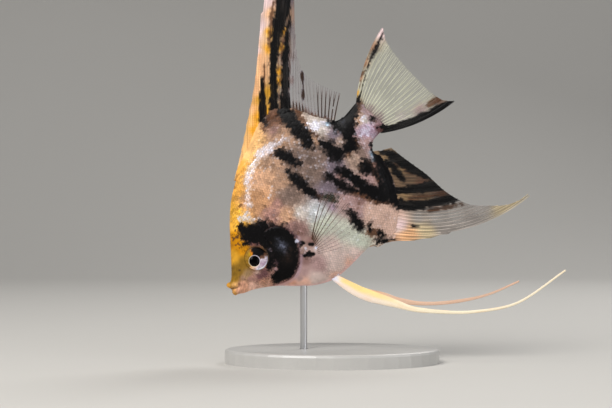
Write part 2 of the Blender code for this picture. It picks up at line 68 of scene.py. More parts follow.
# Outline and girth of the body, each as (distance from the snout, size)
BACK = [(0.6, -1.5), (2.2, -0.6), (3.9, 0.2), (8.7, 4.2), (16.0, 10.9), (23.2, 17.4), (32.8, 24.3),
        (40.8, 27.9), (54.2, 31.6), (66.7, 34.9), (74.3, 33.5), (80.1, 28.9), (85.1, 17.1),
        (89.4, 10.3), (94.5, 8.7), (101.0, 8.9), (102.4, 9.0)]
BELLY = [(0.6, -6.6), (2.8, -8.6), (6.1, -10.4), (11.5, -14.6), (16.3, -19.3), (20.3, -24.3),
         (27.3, -31.6), (35.3, -36.2), (43.1, -37.5), (56.3, -38.6), (65.1, -41.0), (73.5, -37.2),
         (80.1, -31.0), (85.3, -23.1), (90.0, -11.4), (94.0, -8.8), (98.4, -9.0),
         (100.6, -10.2), (102.4, -11.4)]
HALF_WIDTH = [(0.6, 1.7), (2.2, 2.6), (5.0, 3.7), (9.0, 5.1), (14.0, 6.6), (20.0, 7.7),
              (28.0, 8.6), (38.0, 8.8), (50.0, 7.7), (62.0, 6.3), (75.0, 4.9), (88.0, 3.4),
              (100.4, 2.1), (102.4, 0.7)]
BODY_END = 102.3
# Height of the widest place, and how fast the flank thins above it and below it
WIDEST_HEIGHT = [(0.6, -4.2), (10.0, -4.5), (25.0, -6.0), (45.0, -6.0), (70.0, -2.0), (101.0, 0.0)]
UPPER_TAPER = [(0.6, 0.9), (15.0, 1.05), (40.0, 1.3), (101.0, 1.25)]
LOWER_TAPER = [(0.6, 0.9), (15.0, 1.0), (35.0, 1.0), (60.0, 1.3), (101.0, 1.25)]
BODY_RINGS, BODY_SIDES = 170, 80

# Face. A lip is (forward reach, height, corner reach, corner height, radius)
UPPER_LIP = (1.3, -1.0, 4.9, -4.3, 1.32)
LOWER_LIP = (0.7, -5.2, 4.6, -6.4, 1.45)
MOUTH_HALF_WIDTH = 2.5
LIP_RINGS, LIP_SIDES, LIP_TAPER = 33, 20, 0.6
MOUTH_LINE = [(-0.6, -2.5), (0.8, -2.9), (2.6, -4.3), (4.9, -5.4), (6.6, -6.3)]
CHEEK_FOLD = [(5.2, -3.0), (7.2, -4.6), (8.8, -7.2), (9.2, -9.4)]
GILL_EDGE = [(31.0, 2.0), (34.4, 0.6), (36.6, -1.8), (37.6, -5.2), (37.3, -9.4), (35.2, -12.8),
             (31.8, -16.3), (27.6, -18.9), (23.8, -19.9), (19.8, -18.9), (16.0, -16.6),
             (10.5, -12.8)]
PREOPERCLE = [(28.2, 0.4), (27.2, -3.6), (25.3, -7.4), (22.7, -10.8), (20.0, -13.4), (15.4, -13.6)]
NOSTRILS = [(9.8, -0.4, 0.50), (8.2, -4.8, 0.26), (11.6, -7.8, 0.2), (7.4, -7.6, 0.2)]
EYE_CENTRE = (18.5, -2.6)  # middle of the eye's solid
EYE_MIDDLE = (18.95, -2.64)  # middle of the ring that shows
EYE_OFFSET = 6.35  # from the mid plane to the middle of the eyeball
EYE_OPENING, EYE_RADIUS, PUPIL_RADIUS = 5.05, 5.35, 2.42
PUPIL_SHIFT = (-1.8, -0.12)  # the pupil sits ahead of the middle
PUPIL_RING = (2, 4)  # rings of the eye's mesh that make the pale edge of the pupil
EYE_TURN = math.radians(9.0)
EYE_SECTORS = 72
PECTORAL_LOBE = [(38.2, -12.6), (40.3, -16.4), (39.2, -19.6), (36.8, -22.4)]

# Unpaired fins, as in the solids. A base is (first spine, last spine, last soft ray).
DORSAL_SPINES, DORSAL_RAYS = 12, 24
DORSAL_BASE = (41.0, 66.6, 89.0)
DORSAL_EDGE = [(43.6, 30.0), (53.2, 35.1), (66.8, 42.6), (77.7, 48.6), (87.4, 55.0), (104.7, 67.3)]
DORSAL_REACH = [(0, 95.0), (3, 86.0), (7, 66.0), (9, 54.0), (10, 34.0), (12, 24.0), (16, 17.0),
                (23, 12.3)]
DORSAL_LEAN = [(0, 35.2), (9, 38.2), (15, 46.0), (19, 40.0), (23, 29.0)]
DORSAL_BOW, DORSAL_SPINE_BOW = 0.085, 0.025
ANAL_SPINES, ANAL_RAYS = 6, 26
ANAL_BASE = (57.5, 66.0, 89.5)
ANAL_EDGE = [(60.6, -42.0), (66.1, -46.4), (69.5, -50.4), (74.0, -54.9), (83.4, -62.0)]
ANAL_REACH = [(0, 64.5), (2, 52.5), (4, 44.0), (8, 31.5), (12, 23.5), (18, 17.0), (22, 11.5),
              (25, 8.0)]
ANAL_LEAN = [(0, -35.3), (2, -40.4), (4, -43.0), (8, -48.5), (18, -50.0), (22, -45.0), (25, -38.0)]
ANAL_BOW, ANAL_SPINE_BOW = 0.23, 0.06
SPINE_CROWDING = 1.5
TAIL_RAYS = 21
TAIL_ROOT = [(101.6, 8.2), (99.8, -10.2)]
TAIL_EDGE = [(-25.0, 130.8), (-20.5, 127.6), (-14.4, 127.0), (-4.0, 127.8), (6.6, 129.2),
             (15.9, 131.6), (21.0, 135.2)]
TAIL_BOW = 0.13
# Flesh that wraps the roots of the unpaired fins: (rise off the body's edge, half thickness)
BACK_SHEATH = [(-1.6, 1.15), (0.0, 0.8), (0.7, 0.6), (1.3, 0.42)]
BELLY_SHEATH = [(-1.6, 1.15), (0.0, 0.85), (1.2, 0.62), (2.6, 0.42)]
SHEATH_RINGS = 90
# Where the sheaths widen the body, and how its end widens into the tail fin
BACK_SPAN, BELLY_SPAN = (41.0, 89.5), (57.0, 90.0)
TAIL_WIDENING = [(98.6, 0.3), (102.4, 0.7), (104.4, 0.4)]
ROOT_LIFT = 0.5  # of the rays' first points off the body's edge
FIN_SAMPLES = 400
RAY_STEP, WEB_STEP, WEB_COLUMNS = 0.9, 0.8, 4
WEB_SHARES = np.linspace(0, 1, WEB_COLUMNS)
JOINT_LENGTH, RAY_FLATNESS = 1.1, 1.25
# Where along a soft ray it forks, how far its branches part, and how far they overlap the stem
FORK_START, FORK_SPREAD, FORK_OVERLAP = 0.42, 0.27, 0.03

# Paired fins. A pelvic feeler is a path of (x, y, z, width), and a pectoral fin is a fan.
LEFT_PELVIC = [(34.8, -1.8, -34.4, 3.2), (35.3, -2.6, -38.5, 4.0), (36.8, -3.8, -46.4, 5.4),
               (38.5, -4.6, -51.8, 5.6), (41.3, -5.4, -58.2, 4.8), (43.9, -6.2, -64.1, 3.5),
               (46.5, -7.0, -70.2, 2.6), (51.1, -8.0, -77.3, 2.0), (63.9, -9.8, -92.7, 1.4),
               (80.3, -11.2, -105.0, 1.1), (104.0, -12.4, -111.3, 0.85)]
RIGHT_PELVIC = [(34.8, 1.8, -34.4, 3.2), (35.3, 3.2, -38.5, 4.0), (36.5, 5.2, -46.4, 5.4),
                (38.8, 7.2, -52.6, 5.4), (42.7, 9.7, -59.5, 4.2), (45.3, 11.4, -64.8, 3.0),
                (51.1, 15.0, -74.1, 1.9), (63.4, 20.6, -87.4, 1.6), (75.0, 25.0, -96.5, 1.1),
                (88.8, 29.4, -103.8, 0.9)]
PELVIC_RINGS, PELVIC_SIDES, PELVIC_CROWDING = 150, 20, 1.25
# Rays inside a feeler: (place across it, first share, last share, colour)
PELVIC_RAYS = ((0.55, 0.02, 0.28, "straw_gold"), (-0.62, 0.03, 0.18, "shell"))
PECTORAL_RAYS = 11
PECTORAL_ROOT = [(41.3, -16.2), (37.9, -22.0)]
PECTORAL_ANGLES = (25.0, -32.0)
PECTORAL_REACH = [(0.0, 24.0), (0.3, 25.5), (1.0, 15.0)]
PECTORAL_FLARE = math.radians(17.0)
PECTORAL_BOW = 0.04
PECTORAL_HINGE = 1.2  # from the flank out to the plane of the fan

# Scales: the place where they are largest, how far off it they are smallest, and their outline
SCALE_MIDDLE, SCALE_REACH = (62.0, -4.0), (38.0, 40.0)
SCALE_HEIGHTS = (-48.0, 42.0)
BODY_SPAN, FACE_SPAN = (22.0, 106.0), (9.0, 38.0)  # first and last column
SMALLEST_GAP = 0.72
SMALLEST_LENGTH, SMALLEST_WIDTH = 0.7, 0.72
SCALE_LENGTH, SCALE_WIDTH = 0.92, 0.72  # shares of the spacing
SCALE_SCATTER = 0.07
SCALE_SECTORS = 12
FACE_FINENESS = 0.55
BODY_SEED, FACE_SEED, SCALE_SEED = 40, 44, 60
DORSAL_SEED, ANAL_SEED, TAIL_SEED = 30, 35, 40
SCALE_PATCH = 0.0014  # half of a scale's patch on the map

# Colours of the body: (name, x, z, reach)
BODY_TINTS = [
    ("lip_orange", 0.6, -0.4, 1.3), ("lip_cream", 3.6, -2.8, 1.3), ("lip_low", -0.4, -5.4, 1.2),
    ("umber", 5, -4.2, 0.8), ("cheek", 2.6, -6.6, 1.4), ("umber", 4.2, 1, 0.6),
    ("olive_gold", 5.2, -0.4, 2.4), ("olive_gold", 8.4, 0.8, 3), ("honey", 12, 6, 3),
    ("olive_gold", 14, 0.4, 2.2), ("straw", 10.8, -4.2, 1.8), ("pink", 14.4, -7, 0.9),
    ("amber", 18.6, 11, 4), ("amber", 18.4, 4.6, 2.4), ("nape", 27, 19, 5),
    ("nape", 22.4, 15.4, 3), ("mauve", 22.8, 4, 1.6), ("mauve", 24.4, 2, 1.4),
    ("apricot", 36, 25, 4.5), ("apricot", 46, 29.6, 4), ("dorsal_front", 58, 33.4, 3.6),
    ("dorsal_front", 51, 31.4, 2.4), ("cheek", 5.8, -5.6, 2.2), ("tan", 8.2, -3.8, 1.4),
    ("rose", 10, -6.2, 1.2), ("flush", 8.6, -9.4, 1.8), ("rose", 11.4, -7.6, 1.6),
    ("mauve", 13.6, -8.8, 1.5), ("mauve", 16, -10.2, 1.6), ("cheek", 13, -13, 2.6),
    ("throat", 15, -17.6, 3), ("rose", 18, -12.4, 1.6), ("throat", 20, -22, 2),
    ("rose_grey", 24.6, -23.6, 1.6), ("plum", 24.2, -8.2, 1), ("plum", 22.9, -10.6, 1),
    ("rose_grey", 28, -22.6, 2), ("flush", 24, -26, 2.6), ("blush", 30, -29, 3),
    ("flush", 10.5, -12.4, 1.6), ("flush", 13.2, -13.8, 1.6), ("flush", 44, -35.6, 2.4),
    ("flush", 36, -35, 2), ("sand", 46, 20, 5), ("ochre", 39, 13.5, 5), ("ochre", 36, 17, 4),
    ("tan", 57, 21, 4), ("tan", 68, 25, 4), ("tan", 52, 10, 3), ("rose", 38, 5, 4),
    ("sand", 42, 0, 3), ("dusk", 39.6, -5.6, 2.4), ("bone", 47.4, -4.2, 2), ("taupe", 50, 5, 4),
    ("taupe", 65, 11, 4), ("taupe", 66, 4, 5), ("taupe", 73, 5, 4), ("lilac_grey", 73.5, -2, 4),
    ("lilac_grey", 62, -8, 4), ("dusk", 41, -9.6, 2.6), ("rose_grey", 64, -17, 4),
    ("silver", 52.5, -10.5, 3.2), ("mint", 50, -17, 4), ("mint", 53, -25, 4),
    ("mint", 55, -33, 3.5), ("blush", 45, -24.5, 4), ("blush", 41, -32, 5), ("blush", 49, -35, 3),
    # The dusk tint at (32.8, -20) is painted shadow behind the edge of the gill cover
    ("rose_grey", 34.4, -26, 3.6), ("dusk", 32.8, -20, 2), ("dusk", 41, -16.4, 1.8),
    ("pink", 67, -29, 4), ("pink", 70, -37, 5), ("rose_grey", 64, -25, 3),
    ("bone_tan", 80.6, -6.2, 2.6), ("bone_tan", 79.6, -9.6, 1.6), ("rose_grey", 78.8, -18.4, 2),
    ("dusk", 83.2, -18, 1.6), ("dusk", 71.4, -7.4, 1.4), ("taupe", 86, -6.4, 2),
    ("lilac", 95, -3.4, 3), ("bone", 97.4, 0.4, 1.6), ("bone_tan", 99, 3.4, 1.6),
    ("rose_grey", 90.4, -6.6, 2.6), ("tan", 95.4, 2.4, 1.6), ("tail_root", 101.6, -2, 2.2),
    ("tail_root", 101.4, 3, 2), ("mauve", 98.8, -6.8, 1.4), ("lilac_grey", 84.6, 6.4, 2.2),
    ("bone", 80.6, 14.6, 3.4), ("tan", 76, 13, 3), ("bone_tan", 83.6, 2.6, 1.6),
    ("dusk", 69, -21.4, 2), ("umber", 99.6, 6, 1.6), ("umber", 72, 31.2, 2.4),
    ("dusk", 68, 28.2, 2.2), ("lilac", 58.6, -14, 1.6), ("blush", 57.6, 24, 1.8),
    ("rose", 44, 6, 1.8),
]
# Black marbling: strokes of (x, z, half width)
FACE_STROKES = [
    [(27, 12.4, 0.5), (25.6, 11.2, 1.9), (24.9, 9.4, 2.4), (26.4, 7.6, 3.2), (27.8, 5.6, 3.6),
     (29.6, 3.6, 3.9), (31.8, 0.2, 4.2), (34.2, -4.6, 4.3), (33.8, -9.6, 4.2), (30.6, -13, 4.4),
     (26.8, -14.8, 4.2), (23.2, -15.8, 3.6), (20.2, -15.8, 3), (18.3, -15, 1.9),
     (17.3, -14.4, 0.9)],
    [(30, 8, 0.6), (31.2, 6.6, 1.4), (33.4, 3.2, 1.8)],
    [(22.6, 8.6, 1.3), (23.8, 6, 1.9), (25.8, 3, 2.2), (27.2, 0.6, 2.6)],
    [(20.2, 5.8, 0.5), (21.6, 5, 0.9), (23.2, 4.2, 0.6)],
    [(28, -1.8, 2.4), (26.4, -3.7, 1.8), (24.8, -5.8, 1.7), (22.9, -7.9, 1.9), (20.8, -9.4, 1.7),
     (18.8, -10, 0.6)],
    [(29.4, -7.6, 4.4), (27.6, -11.4, 3.6), (25.6, -13.6, 3)],
    [(34.2, -12.4, 1.9), (30.6, -15.8, 2.2), (26.6, -17.6, 2.4), (22.8, -18, 2.1),
     (19.8, -17.4, 1.5), (17.4, -16.8, 0.6), (15.8, -16, 0.2)],
]
FLANK_STROKES = [
    [(61.2, 21.4, 1.1), (62, 18.4, 2), (62.4, 15, 1.9), (62.9, 11.4, 1.4), (63.2, 9.2, 0.7)],
    [(57.6, 11.4, 0.9), (57.5, 8.2, 1.6), (57.4, 4, 2), (57.3, -0.6, 1.8), (57.1, -5.4, 0.8)],
    [(78.6, 32.6, 2.4), (77, 28.6, 3.1), (75.8, 24.8, 3), (75, 20.4, 2.7), (74.2, 15.6, 2.8),
     (73.4, 12.2, 2), (72.8, 10.4, 0.7)],
    [(68.6, 36, 1.3), (68.2, 34.4, 0.6)],
    [(77.6, 8.6, 1.5), (77.6, 4.6, 2.5), (77.5, 0.4, 2.7), (77.1, -2.2, 1.3)],
    [(79, -0.6, 1.6), (82.4, -1.8, 2), (85.6, -3, 2), (86.8, -0.6, 2.3), (88.6, 3, 2.2)],
    [(102.4, 9, 1), (98.8, 7.8, 2.2), (95.8, 7, 2.8), (92.4, 5.8, 3.5), (89.4, 7.6, 3.5),
     (87.4, 11, 1.6)],
    [(91.4, 4.2, 2.9), (88.8, 1.6, 2.3)],
    [(67.2, -2.6, 0.5), (68.2, -6.4, 1.4), (68.7, -11.4, 1.5), (69.6, -14.6, 1.2),
     (71.4, -18.8, 0.6), (73.4, -23, 0.9)],
    [(73, -4.6, 0.9), (74.3, -9.4, 2.1), (74.7, -14.6, 2.2), (74.7, -19.6, 2.3),
     (75.6, -25.4, 2.7), (77.4, -28.6, 2.8), (79.6, -30.2, 2.4)],
    [(82.2, -13.2, 2.5), (81.8, -14.2, 2.6)], [(78.6, -25.6, 2.2), (81, -24.6, 1.6)],
    [(60, -8.9, 1.3), (61.4, -12.2, 1.5)], [(61.7, -20.6, 1), (60.5, -25, 2), (59.8, -29.6, 1.5)],
    [(62.8, -32, 0.9), (62.2, -33.4, 0.6)],
    [(59.2, -39.4, 0.6), (61.6, -40.8, 1), (63.6, -43, 0.8)], [(63.2, -39.2, 1.1), (63, -38, 0.8)],
    [(91, -9.6, 0.6), (90.3, -12.4, 1.5), (88.2, -17.5, 2.2), (85.2, -23.1, 2.6), (82, -28.2, 2.8),
     (79.6, -33.4, 2.8), (79.4, -37.4, 2.2), (80.6, -39.4, 1.6)],
    [(100.2, -1.6, 0.6), (100.8, -2.6, 0.6)],
    [(99.6, -6.6, 0.5), (101, -8.4, 1.4), (102.4, -10.2, 2)],
    [(83.2, -17.4, 0.5), (81.4, -21.6, 0.6)],
]
PECTORAL_STROKES = [
    [(37.1, -13.4, 1), (37.6, -14.2, 0.9)], [(39.2, -16.8, 0.7), (40, -17.8, 0.8)],
    [(33.8, -18.1, 0.8), (35.4, -19.4, 1.2), (36.9, -20.9, 0.8)],
]
BROWN_STROKES = [
    [(78.2, 13, 1), (78.6, 18, 1.5), (79.4, 23, 1.6), (81.6, 27, 1.2)],
    [(59, 22.6, 0.8), (60, 21, 1.2)],
    [(76, 33, 1.6), (73, 30.8, 2.2), (71, 33.8, 1.8), (68.2, 33.4, 1.4), (65.4, 32.4, 0.9)],
    [(61, -34.6, 2.2), (62.8, -37, 1.8)],
    [(69.6, -15, 1.4), (71.6, -21.4, 2), (74, -27.6, 1.8), (76.8, -32.6, 1.2)],
    [(88.6, 3, 2.6), (87, -2.6, 2.4), (82, -3.4, 1.6)], [(58.6, -4, 1), (57.2, -7.6, 0.8)],
    [(84.6, -14.6, 1), (82.6, -19, 1.3), (80.4, -23.4, 1.3)],
    [(28.6, 14.8, 0.35), (28.8, 15, 0.3)], [(30.2, 18.6, 0.35), (30.4, 18.8, 0.3)],
    [(32.2, 17.6, 0.3), (32.4, 17.7, 0.3)], [(39, 8.6, 0.5), (39.4, 8.9, 0.4)],
    [(35.2, 4, 0.35), (35.5, 4.2, 0.3)], [(36.6, 25.2, 0.3), (36.8, 25.4, 0.3)],
    [(41.4, 27.4, 0.4), (41.8, 27.6, 0.4)],
]
# Freckles: (x, z, reach, amount)
SPECKS = [
    (19.2, 8.6, 3.4, 0.85), (22, 12, 2.4, 0.6), (71, 32.5, 3, 0.8), (74, 30, 3, 0.6),
    (67, 32, 3, 0.5), (44, -2, 4, 0.2), (38, 0, 3, 0.3), (35, 1.8, 3, 0.25), (59, -35, 4, 0.35),
    (65, 29, 4, 0.45), (59, 28.6, 3, 0.35), (55.5, 15, 3, 0.3), (79, 9, 4, 0.3),
    (68, -22, 4, 0.35), (40, -10, 3, 0.3), (64.5, -13, 4, 0.3), (10, -3.6, 3, 0.3),
]
# Silvery guanine, strokes as above
SILVER_STROKES = [
    [(27, 14.8, 0.9), (29.2, 13.6, 1.4), (31.6, 13.6, 1.2), (34.9, 16.2, 1), (39.8, 20.6, 1.1),
     (42.4, 23, 1.5), (45.6, 24.2, 1.3), (48, 25.6, 1.7), (50.6, 25.3, 1.2), (53.2, 25.8, 1.4),
     (54.8, 27, 1.4), (59.6, 26, 2.1), (61.4, 24.8, 2.1), (64.6, 24, 1.2), (67.6, 22.6, 0.8),
     (70.4, 20.6, 0.4)],
    [(29, 12.4, 1.1), (30.9, 10.4, 1), (32, 8.2, 0.6), (34.4, 6.6, 0.1)],
    [(37.6, 7.6, -0.5), (40.6, 9.2, -0.2), (47.6, 12.8, -0.1), (52.9, 14.3, 0), (57, 13.6, 0.5)],
    [(79.4, 17.8, 1.8), (82, 15.6, 2), (84, 13.6, 1)],
    [(92, -2.4, 0.8), (94.6, -3.4, 1.6), (96.6, -3.4, 0.6)], [(97.4, 1.6, 0.7), (99.6, 1.2, 0.4)],
    [(66.4, 12.2, 0.5), (68, 11.2, 0.4)],
]
# Fields of painted glints scattered over the scales, as strokes
GLINT_FIELDS = [
    [(44, 21, 4), (54, 23, 5), (66, 20, 5), (71, 14, 4), (70, 6, 4)],
    [(62, 4, 5), (72, 0, 5), (82, 4, 4)], [(78, 14, 6), (86, 4, 5), (92, -4, 6), (100, 2, 5)],
    [(48, -6, 3), (52, -11, 3), (50, -20, 3), (54, -31, 4)],
    [(64, -16, 4), (68, -28, 4), (72, -38, 3)],
]
# White spots: (x, z, radius)
BRIGHT_SPOTS = [
    (27.7, 14.7, 0.9), (29.3, 13, 1.1), (30.8, 11, 0.7), (31.7, 13.6, 0.8), (36.7, -11.6, 0.8),
    (36.4, -17.2, 0.8), (39.4, -20.2, 0.7), (36.4, -36.2, 1.5), (80.2, 14.8, 1.1),
    (81.9, 14.2, 0.8),
]
# Painted highlights (slate, sky, lilac grey) and tints laid over the rest: (name, x, z, reach,
# amount)
HIGHLIGHTS_AND_TINTS = [
    ("slate_highlight", 30.6, -7.2, 2.1, 1), ("slate_highlight", 29.2, -10.6, 1.2, 0.5), ("slate_highlight", 31.6, -4, 1, 0.5),
    ("slate_highlight", 31.6, -9.6, 1.5, 0.35), ("lilac_grey", 26.2, -4.8, 0.7, 1),
    ("plum", 24.6, -7.4, 0.8, 0.7), ("plum", 23.3, -10.2, 0.8, 0.7),
    ("lilac", 20.8, -12.4, 0.8, 0.6), ("sky", 88.5, -10.9, 0.9, 1), ("sky", 87.8, -12.4, 1, 1),
    ("sky", 87, -14, 0.8, 0.9), ("sky", 85.6, 12, 1, 1), ("slate_highlight", 90.6, 7.4, 1.4, 0.4),
    ("slate_highlight", 92.6, 8.6, 1.2, 0.3), ("umber", 28, -13.4, 2.4, 0.35),
    ("umber", 31.8, -11.6, 1.6, 0.3),
]

# Fins: tints are (name, x, z, reach, cover), and strokes are as above. The cover left out is 1.
DORSAL_TINTS = [
    ("dorsal_front", 52, 34, 3), ("dorsal_front", 58, 36.6, 3), ("dorsal_front", 63, 39.4, 2.4),
    ("peach", 68, 42, 2.4), ("gold", 62, 36, 2.4), ("gold", 68, 38.6, 2.2), ("peach", 76, 46.6, 3),
    ("honey", 74.4, 43.2, 1.8), ("peach", 84, 51.5, 3), ("peach", 90, 54.6, 2.6),
    ("shell", 90, 58, 2.5), ("shell", 99, 63.5, 3), ("shell", 110, 70.4, 3.4),
    ("gold", 71.6, 35.6, 2), ("honey", 79, 42, 2), ("gold", 94, 54.6, 1.6),
    ("gold", 100.4, 59.2, 1.6), ("peach", 108, 63.6, 2), ("apricot", 122, 74, 4),
    ("apricot", 136, 84, 4), ("gold", 86.6, 41.2, 1, 0.95), ("gold", 90, 44, 1.2, 0.95),
    ("gold", 98.6, 50.6, 1, 0.95), ("gold", 105, 54.2, 1, 0.95), ("umber", 101.8, 51, 0.9, 0.95),
    ("tan", 112, 57.8, 1.4, 0.9), ("dusk", 98, 44.4, 1, 0.5), ("dusk", 90, 37.4, 1, 0.5),
    ("lilac_grey", 108, 50.4, 1.6, 0.35), ("lilac_grey", 120, 62, 2.4, 0.6),
    ("smoke", 87, 32.4, 2, 0.07), ("smoke", 95, 39.6, 2, 0.08), ("smoke", 92, 27, 5, 0.04),
    ("smoke", 100, 36, 5, 0.04), ("smoke", 95, 19, 5, 0.04), ("umber", 80, 27, 1.4, 0.8),
    ("umber", 83.4, 23.4, 1.2, 0.5), ("bone", 85, 18, 1.2, 0.6), ("bone", 89, 11, 1, 0.5),
]
DORSAL_STROKES = [
    [(65, 32.6, 1.4), (68.2, 35.7, 1.9), (72, 38.8, 1.9), (76, 42.2, 1.5), (80.4, 45.9, 0.9),
     (82.8, 48.2, 0.2)],
    [(68.6, 28, 3.2), (71.8, 31.2, 3.1), (75.4, 34.8, 2.6), (79.6, 38.8, 2.1), (87, 45.2, 1.9),
     (95.8, 52.2, 2), (101.2, 55.6, 2.4), (105.8, 58, 3.1), (111.3, 60.6, 3.5), (116.7, 63.6, 3.4),
     (128, 71.6, 2.7), (140, 81.2, 1.6), (146, 87.6, 0.6)],
    [(72, 26, 3), (76.4, 28.9, 2.6), (80, 32.2, 2.3), (84, 35.6, 1.9), (88.8, 39.6, 1.6),
     (93, 43, 1.6), (99.2, 47.9, 1.5), (103.9, 51.3, 1.1), (108.8, 54.2, 0.9), (112.4, 56.4, 0.4)],
    [(78, 24.6, 2.4), (80.6, 24.8, 1.2)],
]
DORSAL_KNOTS = [
    [(96.8, 36.6, 0.1), (95.8, 35.6, 0.8), (94.4, 34.2, 0.8), (92.2, 32, 0.2), (90.8, 30.8, 0.2),
     (89.8, 30, 0.6), (88.2, 28.6, 0.7), (86.6, 27, 0.1)],
]
DORSAL_BROWN = [
    [(88.6, 49.4, 0.5), (93, 52.6, 0.7), (99, 56.8, 0.7), (106.2, 62.4, 1.1), (114, 67, 1)],
    [(79.4, 36.4, 0.3), (84.8, 40.8, 0.1), (89, 44.4, 0.2), (92, 46.6, 0.5), (94.6, 48.6, 0.5),
     (97, 50.4, 0.1)],
    [(84, 38, 0), (90.4, 43.4, 0.1), (96.4, 48.2, 0.4), (101, 51.4, 0.2)],
    [(103, 52, 0.4), (110, 55.6, 0.4)], [(79.8, 44.4, 0.6), (84, 47.8, 0.5), (88, 51, 0.2)],
    [(82, 21.6, 1.5), (85, 18, 1), (87.6, 13.6, 0.6)],
    [(93, 40.6, 0.3), (100, 46, 0.4), (105, 49.6, 0.2)],
]
TAIL_TINTS = [
    ("tail_root", 101.6, 1, 1.6, 0.9), ("tail_root", 101.6, -4, 1.6, 0.9),
    ("umber", 101.6, 7.6, 1.8), ("tail_root", 104.2, 2, 1.6, 0.5),
    ("tail_root", 104.4, -4, 1.6, 0.5), ("gold", 105, 11.6, 1.4), ("sand", 111, 14.6, 1.4),
    ("sand", 118, 17.6, 1.8), ("tan", 126, 19.4, 1.8), ("shell", 134, 21, 2.4),
    ("glass", 107.4, 3, 2.2, 0.22), ("glass", 107.4, -5, 2.2, 0.22), ("glass", 111, 8, 4, 0.14),
    ("glass", 111, -1, 4, 0.15), ("glass", 120, 9, 5, 0.11), ("glass", 120, -4, 5, 0.12),
    ("glass", 128, 4, 5, 0.09), ("glass", 127, -8, 5, 0.10), ("bone", 110, -11.6, 1.8, 0.4),
    ("rose_grey", 118, -16, 1.8, 0.4), ("umber", 126, -19.6, 1.6, 0.6),
    ("umber", 131, -25, 2, 0.9),
]
TAIL_STROKES = [
    [(99.6, 7.6, 1.3), (105.8, 9.3, 0.7), (113, 12.9, 0.4), (117, 14.9, 0.3), (121.6, 16.5, 0.9),
     (126, 17.6, 0.8), (131, 18.8, 0.5), (133, 19.4, 0.2)],
    [(100, -9.4, 1.8), (104.5, -12.9, 2.3), (111.9, -17.4, 2.4), (119.6, -20.8, 2.5),
     (126.4, -23.2, 2.3), (131, -24.8, 1.2)],
]
TAIL_BROWN = [
    [(108, 11.8, 0.4), (114, 14.6, 0.5), (121, 17.6, 0.5), (127, 19, 0.5)],
    [(122, -17.4, 1), (127, -19.6, 1.4), (130.4, -22, 0.9)],
]
ANAL_TINTS = [
    ("tan", 63, -43, 1.6), ("sand", 66, -45.4, 1.4), ("peach", 70, -48, 2.4),
    ("peach", 73.6, -49, 2), ("cream", 78, -54.4, 2.4, 0.95), ("cream", 76.8, -50.2, 1.8),
    ("bone", 84, -59.4, 2.6, 0.9), ("shell", 72.2, -42.8, 2.2), ("pink", 75, -38, 2),
    ("blush", 69.6, -42.4, 1.2), ("blush", 73.6, -39.6, 1.2), ("bone", 80, -47, 2, 0.6),
    ("bone", 86, -53, 3, 0.38), ("bone", 92, -58, 3, 0.34), ("bone", 95, -66.4, 2.4, 0.75),
    ("bone", 101, -64, 3, 0.34), ("cream", 108, -73, 2.6, 0.7), ("cream", 118, -79, 4, 0.9),
    ("ochre_dark", 86, -27, 2.4, 0.9), ("straw", 91, -20, 1.4, 0.8), ("straw", 92, -27, 1.4, 0.85),
    ("ochre_dark", 90.6, -33, 2, 0.9), ("straw", 83.4, -35.8, 1.5, 0.9),
    ("ochre_dark", 87.6, -41.6, 2, 0.9), ("umber", 95, -48, 2, 0.85),
    ("straw", 89, -43.6, 1.2, 0.9), ("umber", 92, -38, 2, 0.9), ("umber", 88, -50, 2, 0.6),
]
ANAL_STROKES = [
    [(91.8, -13.4, 1.2), (93.8, -17.2, 2), (94.8, -23.5, 2.6), (95.8, -30, 3), (97.4, -36.6, 2.2),
     (98.8, -40, 0.9)],
    [(89.6, -19, 1.2), (90.2, -22.4, 1.4), (89.4, -25.9, 1.9), (88.4, -30, 1.7)],
    [(83.2, -31, 1.5), (88.6, -37.1, 1.7), (94.4, -41.6, 2.9), (98.4, -45.6, 2.2)],
    [(79, -36, 2.6), (80.8, -39.4, 2.3), (86.3, -45.1, 2), (92.1, -49.4, 2.3), (97, -53.6, 2.3),
     (99.6, -57, 0.8)],
    [(88.4, -17, 1), (85.4, -23, 1.2), (82, -30, 1.6)],
    [(61, -41.2, 1), (62.8, -42.8, 1.1), (65.4, -44.4, 0.4)],
    [(76, -47.2, 0.7), (76.9, -48.8, 0.5)],
]
ANAL_BROWN = [
    [(92.4, -22, 1), (93.4, -31, 1.4)], [(85.4, -33.2, 0.8), (91.6, -39.2, 1.2)],
    [(84, -38.6, 0.8), (91, -45, 1), (96.6, -49, 1.3)],
    [(86, -48.6, 0.8), (93.6, -54.8, 1.2), (98, -57.4, 0.8)],
]

# Iris colours round the eye: (degrees from the tail side towards the back, name)
IRIS_SECTORS = [
    (-180, "peach"), (-158, "peach"), (-132, "shell"), (-108, "lilac_pale"), (-70, "lilac"),
    (-36, "lilac_pale"), (-24, "umber"), (-16, "umber"), (-8, "ink"), (50, "ink"), (60, "orange"),
    (74, "olive_yellow"), (96, "olive_gold"), (150, "olive_gold"), (166, "peach"), (180, "peach"),
]

# Stage, in metres. A light is (name, place, width, colour).
VIEW_MIDDLE = (-0.01, 0.0, 0.06)
LIGHTS = (("key", (-0.35, -0.50, 0.62), 0.50, (1.0, 0.98, 0.95)),
          ("fill", (0.60, -0.45, 0.20), 0.60, (0.95, 0.97, 1.0)),
          ("rim", (0.30, 0.45, 0.55), 0.30, (1.0, 1.0, 1.0)))
SKY_COLOUR = (0.93, 0.95, 1.0, 1.0)
FLOOR_FRONT, FLOOR_HALF_WIDTH = -9.0, 9.0
WALL_PLACE, WALL_HEIGHT, WALL_BEND = 1.1, 2.2, 0.5


def size_in(name, description, default):
    return bpy.props.FloatProperty(name=name, description=description, default=default, min=0.0,
                                   unit="LENGTH", precision=5)


def number_of(name, description, default, high=10.0):
    return bpy.props.FloatProperty(name=name, description=description, default=default, min=0.0,
                                   max=high)


